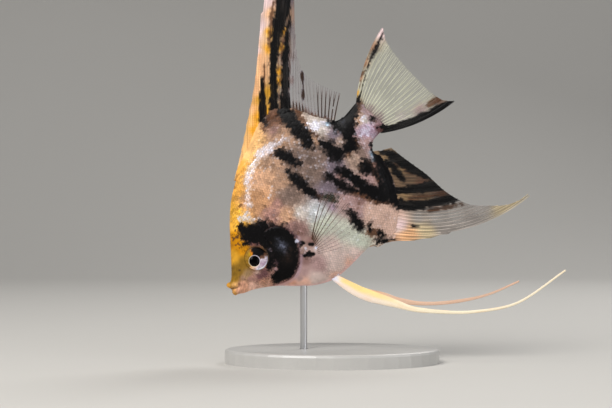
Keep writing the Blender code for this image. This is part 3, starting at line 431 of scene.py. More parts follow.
def colour_of(name, default):
    return bpy.props.FloatVectorProperty(name=name, description=f"{name}, as seen on a screen",
                                         subtype="COLOR_GAMMA", size=3, min=0.0, max=1.0,
                                         default=default)


class AngelfishSizes(bpy.types.PropertyGroup):
    skin_grid: size_in("Skin grid", "Spacing of the points of the skin", 0.00028)
    coat_depth: size_in("Coat depth", "How far the skin lies under the scales' tips", 0.00012)
    scale_pitch: size_in("Scale pitch", "Spacing of the scales along the body", 0.00088)
    scale_row: size_in("Scale row", "Spacing of the rows of scales", 0.00080)
    scale_lift: size_in("Scale lift", "Height of a scale's free edge over its root", 0.00013)
    spine_radius: size_in("Spine radius", "Radius of a fin spine at its root", 0.00030)
    ray_radius: size_in("Ray radius", "Radius of a soft ray at its root", 0.00021)
    ray_tip_radius: size_in("Ray tip radius", "Radius of a fin ray at its tip", 0.00006)
    web_thickness: size_in("Web thickness", "Thickness of the skin between fin rays", 0.00009)
    feeler_thickness: size_in("Feeler thickness", "Thickness of a pelvic feeler", 0.00062)


class AngelfishColours(bpy.types.PropertyGroup):
    gold: colour_of("Gold", (0.95, 0.67, 0.17))
    apricot: colour_of("Apricot", (0.9, 0.65, 0.3))
    orange: colour_of("Orange", (0.86, 0.50, 0.10))
    amber: colour_of("Amber", (0.77, 0.51, 0.05))
    nape: colour_of("Nape", (0.97, 0.72, 0.27))
    flush: colour_of("Flush", (0.93, 0.74, 0.66))
    bone_tan: colour_of("Bone tan", (0.66, 0.56, 0.50))
    straw_gold: colour_of("Straw gold", (0.98, 0.87, 0.58))
    tail_root: colour_of("Root of the tail fin", (0.57, 0.48, 0.48))
    honey: colour_of("Honey", (0.78, 0.57, 0.17))
    olive_gold: colour_of("Olive gold", (0.55, 0.41, 0.13))
    olive_yellow: colour_of("Olive yellow", (0.68, 0.53, 0.10))
    ochre: colour_of("Ochre", (0.75, 0.56, 0.41))
    ochre_dark: colour_of("Dark ochre", (0.46, 0.37, 0.29))
    sand: colour_of("Sand", (0.77, 0.6, 0.48))
    tan: colour_of("Tan", (0.63, 0.5, 0.41))
    straw: colour_of("Straw", (0.58, 0.47, 0.34))
    peach: colour_of("Peach", (0.96, 0.75, 0.56))
    shell: colour_of("Shell pink", (0.93, 0.82, 0.82))
    cream: colour_of("Cream", (0.92, 0.84, 0.68))
    pink: colour_of("Pink", (0.8, 0.67, 0.61))
    blush: colour_of("Blush", (0.86, 0.77, 0.74))
    rose: colour_of("Rose", (0.65, 0.49, 0.45))
    rose_grey: colour_of("Rose grey", (0.66, 0.54, 0.53))
    throat: colour_of("Throat", (0.84, 0.62, 0.53))
    cheek: colour_of("Cheek", (0.78, 0.58, 0.48))
    mauve: colour_of("Mauve", (0.44, 0.30, 0.31))
    dusk: colour_of("Dusk rose", (0.52, 0.40, 0.38))
    umber: colour_of("Umber", (0.40, 0.28, 0.22))
    plum: colour_of("Plum", (0.27, 0.20, 0.22))
    # Pale blue is used only for painted highlights
    sky: colour_of("Pale blue", (0.64, 0.76, 0.86))
    dorsal_front: colour_of("Front of the dorsal fin", (0.97, 0.76, 0.50))
    taupe: colour_of("Taupe", (0.46, 0.385, 0.35))
    lilac: colour_of("Lilac", (0.68, 0.58, 0.66))
    lilac_grey: colour_of("Lilac grey", (0.46, 0.41, 0.45))
    lilac_pale: colour_of("Pale lilac", (0.82, 0.78, 0.83))
    silver: colour_of("Silver", (0.78, 0.79, 0.80))
    mint: colour_of("Mint", (0.78, 0.80, 0.74))
    bone: colour_of("Bone", (0.76, 0.72, 0.69))
    # Slate is used only for painted highlights
    slate_highlight: colour_of("Slate", (0.44, 0.46, 0.54))
    smoke: colour_of("Smoke", (0.62, 0.60, 0.66))
    glass: colour_of("Fin glass", (0.78, 0.78, 0.68))
    ray_pale: colour_of("Pale ray", (0.88, 0.88, 0.80))
    lip_orange: colour_of("Lip orange", (0.84, 0.60, 0.23))
    lip_low: colour_of("Lower lip", (0.77, 0.56, 0.29))
    lip_cream: colour_of("Lip cream", (0.80, 0.61, 0.38))
    guanine: colour_of("Guanine white", (0.91, 0.92, 1.0))
    ink: colour_of("Marbling black", (0.02, 0.015, 0.02))
    brown: colour_of("Marbling brown", (0.34, 0.22, 0.15))


class AngelfishStage(bpy.types.PropertyGroup):
    floor: colour_of("Floor", (0.78, 0.77, 0.75))
    camera_distance: size_in("Camera distance", "From the camera to the middle plane", 0.539)
    camera_height: size_in("Camera height", "Height of the camera over the floor", 0.05038)
    camera_across: bpy.props.FloatProperty(
        name="Camera across", description="Place of the camera along the model", unit="LENGTH",
        default=-0.02791)
    lens: number_of("Lens", "Focal length in millimetres", 100.0, high=500.0)
    key_power: number_of("Key light", "Power of the main light, in watts", 7.2, high=200.0)
    fill_power: number_of("Fill light", "Power of the fill light, in watts", 1.6, high=200.0)
    rim_power: number_of("Rim light", "Power of the light from behind, in watts", 2.0, high=200.0)
    surroundings: number_of("Surroundings", "Brightness of the surroundings", 0.25)


def sizes():
    return bpy.context.scene.angelfish_sizes


def hue(name):
    return np.array(getattr(bpy.context.scene.angelfish_colours, name))


# Shape helpers


def smoothstep(low, high, value):
    """From 0 at the first limit to 1 at the second, eased at both. It may run downwards."""
    t = np.clip((value - low) / (high - low), 0, 1)
    return t * t * (3 - 2 * t)


def curve_through(points):
    """A smooth function through (x, value) points that never swings past them."""
    xs, ys = np.array(points, float).T
    step = np.diff(xs)
    slope = np.diff(ys) / step
    tangent = np.r_[slope[0], np.zeros(len(xs) - 2), slope[-1]]
    for i in range(1, len(xs) - 1):
        before, after = slope[i - 1], slope[i]
        if before * after > 0:
            w1, w2 = 2 * step[i] + step[i - 1], step[i] + 2 * step[i - 1]
            tangent[i] = (w1 + w2) / (w1 / before + w2 / after)

    def value(x):
        x = np.clip(x, xs[0], xs[-1])
        i = np.clip(np.searchsorted(xs, x, side="right") - 1, 0, len(step) - 1)
        t = (x - xs[i]) / step[i]
        return ((1 + 2 * t) * (1 - t) ** 2 * ys[i] + t * (1 - t) ** 2 * step[i] * tangent[i]
                + t * t * (3 - 2 * t) * ys[i + 1] + t * t * (t - 1) * step[i] * tangent[i + 1])

    return value


back, belly = curve_through(BACK), curve_through(BELLY)
half_width, widest_height = curve_through(HALF_WIDTH), curve_through(WIDEST_HEIGHT)
upper_taper, lower_taper = curve_through(UPPER_TAPER), curve_through(LOWER_TAPER)


def distance_along(points):
    """Distance of each point from the first, along the path."""
    return np.r_[0, np.cumsum(np.linalg.norm(np.diff(points, axis=0), axis=1))]


def path_through(points, count, spread=1.0):
    """Points on a smooth path through the given ones. A spread above 1 crowds the first ones."""
    points = np.array(points, float)
    along = distance_along(points[:, :3])
    places = along[-1] * np.linspace(0, 1, count) ** spread
    return np.array([curve_through(list(zip(along, column)))(places) for column in points.T]).T


def unit_rows(vectors):
    """Vectors brought to length 1."""
    return vectors / np.maximum(np.linalg.norm(vectors, axis=-1, keepdims=True), 1e-12)


def section(x, upper, middle):
    """Reach of the body's section from its widest place, and how fast it thins on the way."""
    return (np.where(upper, back(x) - middle, middle - belly(x)),
            np.where(upper, upper_taper(x), lower_taper(x)))


def flank(x, z):
    """Distance from the mid plane out to the tips of the scales."""
    middle = widest_height(x)
    reach, taper = section(x, z >= middle, middle)
    return half_width(x) * np.maximum(0, 1 - ((z - middle) / reach) ** 2) ** (taper / 2)


def girth(x, z):
    """As flank, with the flesh at the roots of the unpaired fins."""
    def wrap(rise, sheath, span):
        return np.interp(rise, *np.array(sheath).T) * ((x > span[0]) & (x < span[1]))

    low_rear = 0.35 + 0.65 * smoothstep(84, 75, x)
    upper = wrap((z - back(x)) / low_rear, BACK_SHEATH, BACK_SPAN) * (z > 0)
    lower = wrap(belly(x) - z, BELLY_SHEATH, BELLY_SPAN) * (z < 0)
    tail = np.interp(x, *np.array(TAIL_WIDENING).T)
    flesh = np.maximum(np.maximum(upper, lower), tail)
    return np.maximum(flank(np.minimum(x, BODY_END), z), flesh)


def rough(points, size, seed=0):
    """Smooth noise from -1 to 1 that changes over about the given size."""
    points = np.atleast_2d(points) / size + 11.7 * (seed + 1)
    cell = np.floor(points).astype(np.int64)
    blend = points - cell
    blend = blend * blend * (3 - 2 * blend)
    total = np.zeros(len(points))
    for corner in itertools.product((0, 1), repeat=points.shape[1]):
        mixed = (cell + corner) @ np.array([73856093, 19349663, 83492791])[:points.shape[1]]
        mixed = (mixed ^ (mixed >> 13)) * 1274126177 & 0xFFFFFFFF
        mixed = ((mixed ^ (mixed >> 15)) * 40503 + seed * 977) & 0xFFFF
        weight = np.prod(np.where(corner, blend, 1 - blend), axis=1)
        total += weight * mixed / 0xFFFF
    return 2 * total - 1


def hump(value, middle, width):
    """A smooth hump of height 1 round the middle."""
    return np.exp(-((value - middle) / width) ** 2)


def away_from(x, z, place):
    """Distance from each point to a place."""
    return np.hypot(x - place[0], z - place[1])


def nearest_on(x, z, start, end):
    """How far along a segment the place nearest to each point lies, and how far off it is."""
    run, rise = end[0] - start[0], end[1] - start[1]
    off_x, off_z = x - start[0], z - start[1]
    share = np.clip((off_x * run + off_z * rise) / (run * run + rise * rise), 0, 1)
    return share, np.hypot(off_x - share * run, off_z - share * rise)


def stroke_depth(x, z, strokes):
    """How deep each point lies inside the nearest stroke. It is negative outside."""
    depth = np.full(np.shape(x), -99.0)
    for stroke in strokes:
        for start, end in zip(stroke, stroke[1:]):
            share, away = nearest_on(x, z, start, end)
            depth = np.maximum(depth, start[2] + (end[2] - start[2]) * share - away)
    return depth


def line_side(x, z, line):
    """Distance from each point to a line, positive to the right of the way it runs."""
    nearest, side = np.full(np.shape(x), 99.0), np.ones(np.shape(x))
    for start, end in zip(line, line[1:]):
        away = nearest_on(x, z, start, end)[1]
        closer = away < nearest
        nearest = np.where(closer, away, nearest)
        across = (end[1] - start[1]) * (x - start[0]) - (end[0] - start[0]) * (z - start[1])
        side = np.where(closer, np.sign(across + 1e-9), side)
    return nearest * side


GILL_LINE = path_through(GILL_EDGE, 60)
PREOPERCLE_LINE = path_through(PREOPERCLE, 30)
CHEEK_LINE = path_through(CHEEK_FOLD, 16)
LIP_LINE = path_through(MOUTH_LINE, 20)
LOBE_LINE = path_through(PECTORAL_LOBE, 24)


# Paint


def blended(x, z, tints, cover=False, crispness=2.2):
    """The colour at each point, mixed from the tints round it, and its cover if asked."""
    total, weights = 0, 0
    for name, tint_x, tint_z, reach, *solid in tints:
        away = ((x - tint_x) ** 2 + (z - tint_z) ** 2) / reach ** 2
        weight = ((1 / (away + 0.25)) ** crispness)[:, None]
        total = total + weight * np.r_[hue(name), solid or [1.0]]
        weights = weights + weight
    mixed = total / weights
    return mixed if cover else mixed[:, :3]


def mix(colours, other, share):
    """Colours with a share of another colour."""
    share = np.reshape(share, (-1, 1))
    return colours * (1 - share) + other * share


def wobble(points, side):
    """Places on the flank, moved a little so that marks have uneven edges."""
    def noise(size, seed):
        return np.column_stack([rough(points, size, seed), rough(points, size, seed + 1)])

    moved = points + 0.4 * noise(1.9, 3 if side == LEFT else 20)
    if side == RIGHT:
        x, z = points.T
        inner = smoothstep(0, 12, np.minimum(back(x) - z, z - belly(x))) * smoothstep(36, 46, x)
        moved = moved + 4.5 * inner[:, None] * noise(16, 7)
    return moved


def marbling(points, side):
    """How black and how brown the body is at each point of the flank."""
    x, z = wobble(points, side).T
    cover = line_side(points[:, 0], points[:, 1], GILL_LINE)
    over = 1.2 * cover + 0.1 + 40 * smoothstep(-3, 1, points[:, 1])
    face = np.minimum(stroke_depth(x, z, FACE_STROKES), over)
    depth = np.maximum(face, stroke_depth(x, z, FLANK_STROKES))
    frayed = 0.6 * rough(points, 0.85, 9) + 0.6 * rough(points, 0.42, 10)
    black = smoothstep(-0.9, 0.6, depth + frayed)
    strays = smoothstep(-2.6, 0.0, depth) * smoothstep(0.25, 0.5, rough(points, 0.5, 13))
    crisp = smoothstep(-0.25, 0.15, stroke_depth(*points.T, PECTORAL_STROKES))
    strays = strays * smoothstep(23, 27, points[:, 0])
    black = np.maximum(np.maximum(black, 0.9 * strays), crisp)
    brown = smoothstep(-0.6, 0.8, stroke_depth(x, z, BROWN_STROKES) + frayed)
    halo = smoothstep(-2.4, 0.2, depth) * smoothstep(0.1, 0.9, rough(points, 0.9, 12))
    return black, np.maximum(brown * 0.85, 0.6 * halo)


def specks(points):
    """Fine dark freckles, where the body has them."""
    density = np.zeros(len(points))
    for *place, reach, amount in SPECKS:
        away = away_from(*points.T, place)
        density = np.maximum(density, amount * smoothstep(reach * 1.3, reach * 0.4, away))
    return smoothstep(0.1, 0.35, rough(points, 0.65, 14) - 0.8 + density) * 0.85


def bright_spots(x, z):
    """How white each point is where the skin has a bright spot."""
    away = [1.4 * (size - away_from(x, z, place)) for *place, size in BRIGHT_SPOTS]
    uneven = 0.8 * rough(np.column_stack([x, z]), 0.8, 22)
    return smoothstep(-0.5, 0.5, np.max(away, axis=0) + uneven)


def silver(points, side):
    """How silvery the body is at each point, from 0 to 1."""
    x, z = wobble(points, side).T
    frayed = 0.9 * rough(points, 1.0, 15) + 0.7 * rough(points, 0.5, 19)
    bright = smoothstep(-0.3, 0.8, stroke_depth(x, z, SILVER_STROKES) + frayed)
    return np.maximum(bright * 0.85, bright_spots(*points.T))


def glints(points, side):
    """The chance that a scale at each point gets a painted glint, as if it caught the light."""
    x, z = wobble(points, side).T
    field = 0.27 * smoothstep(-2.5, 2.5, stroke_depth(x, z, GLINT_FIELDS))
    return np.clip(np.maximum(field, 0.85 * silver(points, side)) + 0.02, 0, 1)


def body_paint(points, side, grain=0.0):
    """Colour and gloss of one side's body at points (x, z). grain varies from scale to scale."""
    x, z = points.T
    tone = blended(x, z, BODY_TINTS)
    # Painted rim highlight: pale shell pink along the lower edge of the belly, from the throat to
    # behind the pelvic fins
    rim = smoothstep(2.2, 0.3, z - belly(x)) * smoothstep(14, 20, x) * smoothstep(56, 46, x)
    tone = mix(tone, hue("shell") * [1, 0.92, 0.90], 0.8 * rim)
    calm = 1 - 0.5 * smoothstep(-8, -20, z)
    tone = tone * (1 + 0.10 * rough(points, 3.2, 16) * calm
                   + 0.07 * rough(points, 1.1, 17) * calm)[:, None]
    bright = silver(points, side)
    black, brown = marbling(points, side)
    tone = mix(tone, hue("guanine"), 0.6 * bright)
    tone = mix(tone, hue("brown"), np.maximum(brown, specks(points)) * (1 - 0.7 * bright))
    tone = mix(tone, hue("ink"), black)
    uneven = 0.7 + 0.5 * rough(points, 1.0, 18)
    # Painted highlights and tints, laid softly over the marks
    for name, *place, reach, amount in HIGHLIGHTS_AND_TINTS:
        overlay = amount * hump(away_from(x, z, place), 0, reach)
        tone = mix(tone, hue(name), np.clip(overlay * uneven, 0, 1))
    gloss = np.clip(0.25 + 0.5 * bright + 0.2 * grain - 0.2 * black, 0, 1)
    return np.clip(tone, 0, 1), gloss


def linear(colours):
    """Colours as seen on a screen, as amounts of light."""
    return np.where(colours < 0.04045, colours / 12.92, ((colours + 0.055) / 1.055) ** 2.4)


# Meshes and pieces


class Shell:
    """Points, faces and paint of one piece, gathered bit by bit."""

    def __init__(self):
        self.points, self.faces, self.paint, self.marks = [], [], [], {}
        self.count = 0

    def add(self, points, faces, colours, **marks):
        self.faces += [[self.count + i for i in face] for face in faces]
        self.points.append(points)
        if colours.shape[1] == 3:
            colours = np.column_stack([colours, np.ones(len(colours))])
        self.paint.append(colours)
        for name, values in marks.items():
            self.marks.setdefault(name, []).append(np.broadcast_to(values, len(points)))
        self.count += len(points)


def fish_pose():
    """From the fish's own frame to the model's, found from where the solids have the eyes."""
    corners = [corner for _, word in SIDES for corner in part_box(f"eye_{word}")]
    middle = sum(corners, Vector()) / len(corners)
    turn = Matrix.Rotation(-NOSE_DOWN, 4, "Y")
    eyes = turn @ (UNIT * Vector((EYE_CENTRE[0], 0.0, EYE_CENTRE[1])))
    return Matrix.Translation(middle - eyes) @ turn @ Matrix.Scale(UNIT, 4)


def posed(points):
    """Points of the fish's frame, as places of the model."""
    pose = np.array(fish_pose())
    return points @ pose[:3, :3].T + pose[:3, 3]


def linked(name, data):
    """A new object of the scene with that data."""
    made = bpy.data.objects.new(name, data)
    bpy.context.collection.objects.link(made)
    return made


def read(items, field, width, kind=float):
    """A field of all of a mesh's items, as rows of that width."""
    values = np.empty(width * len(items), kind)
    items.foreach_get(field, values)
    return values.reshape(-1, width)


def store(mesh, name, kind, field, values):
    """Keeps a value for each point of a mesh."""
    attribute = mesh.attributes.new(name, kind, "POINT")
    attribute.data.foreach_set(field, np.asarray(values, np.float32).ravel())


def make_piece(name, shell, material, nodes=()):
    """One piece of the model from a shell in the fish's frame. It stands for those solids."""
    mesh = bpy.data.meshes.new(name)
    mesh.from_pydata(posed(np.vstack(shell.points)).tolist(), [], shell.faces)
    mesh.shade_smooth()
    paint = np.vstack(shell.paint)
    paint[:, :3] = linear(np.clip(paint[:, :3], 0, 1))
    store(mesh, "paint", "FLOAT_COLOR", "color", paint)
    for mark, values in shell.marks.items():
        store(mesh, mark, "FLOAT", "value", np.concatenate(values))
    mesh.materials.append(material)
    piece = linked(name, mesh)
    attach(piece, BODY)
    if nodes:
        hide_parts(*nodes)
    return piece


def crease(mesh, rim):
    """Sharp edges between the points of a rim, so that light breaks there."""
    sharp = mesh.attributes.new("sharp_edge", "BOOLEAN", "EDGE")
    sharp.data.foreach_set("value", rim[read(mesh.edges, "vertices", 2, np.int64)].all(axis=1))


def tube_faces(rings, sides):
    """Faces of a tube of rings, closed at both ends."""
    faces = []
    for i in range(rings - 1):
        low, high = i * sides, (i + 1) * sides
        faces += [[low + j, low + (j + 1) % sides, high + (j + 1) % sides, high + j]
                  for j in range(sides)]
    last = (rings - 1) * sides
    return [list(range(sides))[::-1]] + faces + [[last + j for j in range(sides)]]


def turns(sides):
    """Angles spread evenly round a ring."""
    return 2 * np.pi * np.arange(sides) / sides


def tube_frame(path):
    """The two ways square to a path: one in the plane of the fin, and one out of it."""
    heading = unit_rows(np.gradient(path, axis=0))
    across = unit_rows(np.cross(heading, [0.0, 1.0, 0.0]))
    return across, np.cross(across, heading)


def tube_points(path, wide, deep, sides):
    """Rings round a path. wide lies in the plane of the fin, and deep out of it."""
    across, outward = tube_frame(path)
    turn = turns(sides)
    ring = (np.cos(turn)[None, :, None] * (wide[:, None] * across)[:, None]
            + np.sin(turn)[None, :, None] * (deep[:, None] * outward)[:, None])
    return (path[:, None] + ring).reshape(-1, 3)


# Materials


class Recipe:
    """The nodes of one material, added and linked in short steps."""

    def __init__(self, name):
        self.material = bpy.data.materials.new(name)
        self.material.use_nodes = True
        self.tree = self.material.node_tree
        self.shader = self.tree.nodes["Principled BSDF"]

    def node(self, kind, inputs=None, **settings):
        """A new node with its settings, and with values or links on its inputs."""
        made = self.tree.nodes.new(kind)
        for name, value in settings.items():
            setattr(made, name, value)
        for name, value in (inputs or {}).items():
            self.feed(made.inputs[name], value)
        return made

    def feed(self, socket, value):
        if isinstance(value, bpy.types.NodeSocket):
            self.tree.links.new(value, socket)
        else:
            socket.default_value = value

    def set(self, **values):
        for name, value in values.items():
            self.feed(self.shader.inputs[name.replace("_", " ")], value)

    def mark(self, name, output="Fac"):
        return self.node("ShaderNodeAttribute", attribute_name=name).outputs[output]

    def place(self):
        return self.node("ShaderNodeTexCoord").outputs["Object"]

    def noise(self, scale, detail=3.0, place=None):
        made = self.node("ShaderNodeTexNoise", {"Scale": scale, "Detail": detail,
                                                "Roughness": 0.55})
        self.feed(made.inputs["Vector"], place or self.place())
        return made.outputs["Fac"]

    def ranged(self, value, low, high, from_low=0.0, from_high=1.0):
        return self.node("ShaderNodeMapRange", {"Value": value, "From Min": from_low,
                                                "From Max": from_high, "To Min": low,
                                                "To Max": high}).outputs["Result"]

    def maths(self, operation, *values):
        made = self.node("ShaderNodeMath", operation=operation)
        for socket, value in zip(made.inputs, values):
            self.feed(socket, value)
        return made.outputs["Value"]

    def scaled(self, colour, amount):
        """A colour made lighter or darker by an amount near 1."""
        grey = self.node("ShaderNodeCombineColor", dict.fromkeys(("Red", "Green", "Blue"), amount))
        made = self.node("ShaderNodeMix", data_type="RGBA", blend_type="MULTIPLY")
        self.feed(made.inputs["Factor"], 1.0)
        self.feed(made.inputs[6], colour)
        self.feed(made.inputs[7], grey.outputs["Color"])
        return made.outputs[2]

    def bump(self, height, distance, strength=1.0, under=None):
        made = self.node("ShaderNodeBump", {"Height": height, "Distance": distance,
                                            "Strength": strength})
        if under is not None:
            self.feed(made.inputs["Normal"], under)
        return made.outputs["Normal"]


def flesh_material():
    """Wet, finely scaled skin. Its marks come with the mesh, and the fine grain is added here."""
    made = Recipe("angelfish_skin")
    grain = made.noise(5200.0, 4.0)
    blotch = made.noise(900.0, 3.0)
    shade = made.maths("MULTIPLY", made.ranged(grain, 0.84, 1.16), made.ranged(blotch, 0.90, 1.10))
    gloss = made.mark("gloss")
    cells = made.node("ShaderNodeTexVoronoi", {"Scale": 1500.0, "Vector": made.place()},
                      feature="DISTANCE_TO_EDGE").outputs["Distance"]
    relief = made.bump(made.maths("MINIMUM", cells, 0.25), 0.00012, 0.35)
    made.set(Base_Color=made.scaled(made.mark("paint", "Color"), shade),
             Roughness=made.maths("ADD", made.ranged(gloss, 0.46, 0.24),
                                  made.ranged(grain, -0.06, 0.06)),
             Metallic=made.ranged(gloss, 0.0, 0.22, 0.3, 1.0),
             Specular_IOR_Level=0.09, Coat_Weight=0.04, Coat_Roughness=0.16,
             Normal=made.bump(grain, 0.00003, 0.5, relief))
    return made.material


def scale_material():
    """Horny scales with growth rings, lit from within by guanine."""
    made = Recipe("angelfish_scale")
    gloss = made.mark("gloss")
    rings = made.maths("SINE", made.maths("MULTIPLY", made.mark("rings"), 30.0))
    grain = made.noise(6500.0, 3.0)
    shade = made.maths("MULTIPLY", made.ranged(rings, 0.93, 1.07, -1.0, 1.0),
                       made.ranged(grain, 0.82, 1.18))
    made.set(Base_Color=made.scaled(made.mark("paint", "Color"), shade),
             Roughness=made.maths("ADD", made.ranged(gloss, 0.44, 0.20),
                                  made.ranged(grain, -0.05, 0.08)),
             Metallic=made.ranged(gloss, 0.0, 0.30, 0.25, 1.0),
             Specular_IOR_Level=0.09, Coat_Weight=0.04, Coat_Roughness=0.14,
             Normal=made.bump(made.ranged(rings, 0.0, 1.0, -1.0, 1.0), 0.00002, 0.5))
    return made.material


def fin_material(name, clear):
    """Fin rays, or the thin skin between them, which lets light through."""
    made = Recipe(name)
    spread, joint_shade = (0.06, 0.95) if clear else (0.14, 0.80)
    grain = made.noise(4200.0, 3.0)
    joints = made.maths("PINGPONG", made.mark("joints"), 0.5)
    joint_line = made.ranged(joints, joint_shade, 1.0, 0.0, 0.12)
    shade = made.maths("MULTIPLY", made.ranged(grain, 1 - spread, 1 + spread), joint_line)
    made.set(Base_Color=made.scaled(made.mark("paint", "Color"), shade),
             Roughness=made.ranged(grain, 0.38, 0.54), Specular_IOR_Level=0.16,
             Normal=made.bump(made.maths("ADD", grain, joint_line), 0.00003, 0.5))
    cover = made.mark("paint", "Alpha")
    if clear:
        cover = made.maths("MULTIPLY", cover, made.ranged(grain, 0.85, 1.1))
    made.set(Alpha=cover)
    return made.material


def eye_material():
    """The iris and the white of the eye."""
    made = Recipe("angelfish_eye")
    grain = made.noise(7000.0, 4.0)
    gloss = made.mark("gloss")
    made.set(Base_Color=made.scaled(made.mark("paint", "Color"), made.ranged(grain, 0.78, 1.2)),
             Roughness=made.ranged(gloss, 0.60, 0.34), Metallic=made.ranged(gloss, 0.0, 0.30),
             Specular_IOR_Level=0.10, Normal=made.bump(grain, 0.00002, 0.3))
    return made.material


def lens_material():
    """The black, wet lens that fills the pupil."""
    made = Recipe("angelfish_lens")
    grain = made.noise(3000.0, 2.0)
    made.set(Base_Color=made.scaled(made.mark("paint", "Color"), made.ranged(grain, 0.7, 1.3)),
             Roughness=made.ranged(grain, 0.10, 0.16), Specular_IOR_Level=0.08,
             Normal=made.bump(grain, 0.00001, 0.2))
    return made.material


def steel_material():
    """Steel brushed along the rod."""
    made = Recipe("stand_steel")
    stretch = made.node("ShaderNodeMapping", {"Vector": made.place(), "Scale": (1.0, 1.0, 0.04)})
    brushed = made.noise(9000.0, 4.0, place=stretch.outputs["Vector"])
    made.set(Base_Color=made.scaled((0.62, 0.62, 0.63, 1.0), made.ranged(brushed, 0.82, 1.12)),
             Metallic=1.0, Roughness=made.ranged(brushed, 0.22, 0.42),
             Normal=made.bump(brushed, 0.00002, 0.4))
    return made.material


def lacquer_material():
    """Grey lacquer with a faint peel."""
    made = Recipe("stand_lacquer")
    cloud = made.noise(60.0, 4.0)
    peel = made.noise(1400.0, 2.0)
    made.set(Base_Color=made.scaled((0.50, 0.49, 0.47, 1.0), made.ranged(cloud, 0.88, 1.12)),
             Roughness=made.ranged(cloud, 0.30, 0.45), Coat_Weight=0.4, Coat_Roughness=0.2,
             Normal=made.bump(peel, 0.00004, 0.5))
    return made.material


def floor_material(colour):
    """Matt paper, faintly clouded."""
    made = Recipe("studio_floor")
    made.set(Base_Color=made.scaled((*linear(np.array(colour)), 1.0),
                                    made.ranged(made.noise(3.0, 2.0), 0.97, 1.03)),
             Roughness=made.ranged(made.noise(40.0), 0.70, 0.80), Specular_IOR_Level=0.2)
    return made.material


# Skin


def body_rings(inset):
    """The body as one closed tube, drawn in by an inset."""
    x = np.linspace(BACK[0][0], BACK[-1][0], 900)
    run = distance_along(np.column_stack([x, back(x), belly(x)]))
    x = np.interp(np.linspace(0, run[-1], BODY_RINGS), run, x)[:, None]
    turn = turns(BODY_SIDES)
    middle = widest_height(x)
    reach, taper = section(x, np.sin(turn) >= 0, middle)
    y = (half_width(x) - inset) * np.sign(np.cos(turn)) * np.abs(np.cos(turn)) ** taper
    z = middle + (reach - inset) * np.sin(turn)
    return np.stack([np.broadcast_to(x, y.shape), y, z], axis=-1).reshape(-1, 3)


def lip_rings(reach, height, corner_reach, corner_height, radius):
    """A lip as a closed tube from one corner of the mouth round to the other."""
    swing = np.linspace(-1, 1, LIP_RINGS)
    corner = swing ** 2
    path = np.column_stack([reach + (corner_reach - reach) * corner,
                            MOUTH_HALF_WIDTH * np.sin(swing * np.pi / 2),
                            height + (corner_height - height) * corner])
    heading = unit_rows(np.gradient(path[:, :2], axis=0))
    turn = turns(LIP_SIDES)
    size = (radius * (1 - LIP_TAPER * corner))[:, None, None]
    flat = np.column_stack([heading[:, 1], -heading[:, 0], np.zeros(LIP_RINGS)])
    ring = np.cos(turn)[None, :, None] * flat[:, None] + np.sin(turn)[None, :, None] * [0, 0, 1]
    return (path[:, None] + size * ring).reshape(-1, 3)


def sheath(edge, up, base, form, inset):
    """Flesh that wraps the roots of a fin along the back or the belly, and its ring's sides."""
    x = np.linspace(base[0] - 1, base[2], SHEATH_RINGS)
    line = np.column_stack([x, edge(x)])
    heading = unit_rows(np.gradient(line, axis=0))
    normal = up * np.column_stack([-heading[:, 1], heading[:, 0]])
    share = np.linspace(0, 1, SHEATH_RINGS)
    ends = smoothstep(0, 0.06, share) * smoothstep(1, 0.96, share)
    if up > 0:
        ends = ends * (0.3 + 0.7 * smoothstep(0.9, 0.72, share))
    half = [(rise, half - inset) for rise, half in form]
    rings = []
    for rise, y in half + [(rise, -y) for rise, y in half[::-1]]:
        moved = line + normal * (rise * np.where(rise > 0, ends, 1.0))[:, None]
        rings.append(np.column_stack([moved[:, 0], np.full(SHEATH_RINGS, y), moved[:, 1]]))
    return np.stack(rings, axis=1).reshape(-1, 3), len(rings)


def fused(shells, grid):
    """Closed shells grown together into one even mesh."""
    points, faces = [], []
    for shell_points, shell_faces in shells:
        faces += [[len(points) + i for i in face] for face in shell_faces]
        points += shell_points.tolist()
    mesh = bpy.data.meshes.new("rough_skin")
    mesh.from_pydata(points, [], faces)
    piece = linked("rough_skin", mesh)
    remesh = piece.modifiers.new("fuse", "REMESH")
    remesh.mode = "VOXEL"
    remesh.voxel_size = grid
    graph = bpy.context.evaluated_depsgraph_get()
    made = bpy.data.meshes.new_from_object(piece.evaluated_get(graph), depsgraph=graph)
    bpy.data.objects.remove(piece)
    return made


def relaxed(points, edges, rounds):
    """Points drawn towards the mean of their neighbours."""
    ends = np.concatenate([edges, edges[:, ::-1]])
    count = np.bincount(ends[:, 0], minlength=len(points))[:, None]
    for _ in range(rounds):
        mean = np.column_stack([np.bincount(ends[:, 0], points[ends[:, 1], i], len(points))
                                for i in range(3)]) / np.maximum(count, 1)
        points = points + 0.5 * (mean - points)
    return points


def face_relief(x, z):
    """How far the skin stands out, in the fish's units, for the forms of the head."""
    cover = line_side(x, z, GILL_LINE)
    ends = smoothstep(9, 13, x) * smoothstep(4.0, -1.0, z - 1.4)
    lift = 0.42 * hump(np.maximum(cover, 0), 0, 2.6) * (cover > 0)
    relief = ends * (lift * smoothstep(-0.15, 0.2, cover) - 0.62 * hump(cover, -0.45, 0.42))
    ridge = line_side(x, z, PREOPERCLE_LINE)
    relief += 0.16 * hump(ridge, 0.5, 0.8) - 0.2 * hump(ridge, -0.35, 0.4)
    relief -= 0.16 * hump(line_side(x, z, CHEEK_LINE), 0, 0.35)
    relief -= 0.4 * hump(line_side(x, z, LIP_LINE), 0, 0.34) * smoothstep(6.6, 3.6, x)
    for *place, size in NOSTRILS:
        away = away_from(x, z, place) / size
        relief += 0.12 * hump(away, 1.6, 0.5) - 0.55 * np.exp(-(away / 0.9) ** 4) * size
    relief += 0.75 * hump(line_side(x, z, LOBE_LINE), 0, 1.5)
    return relief + 0.14 * hump(away_from(x, z, EYE_MIDDLE), EYE_OPENING + 0.5, 0.5)


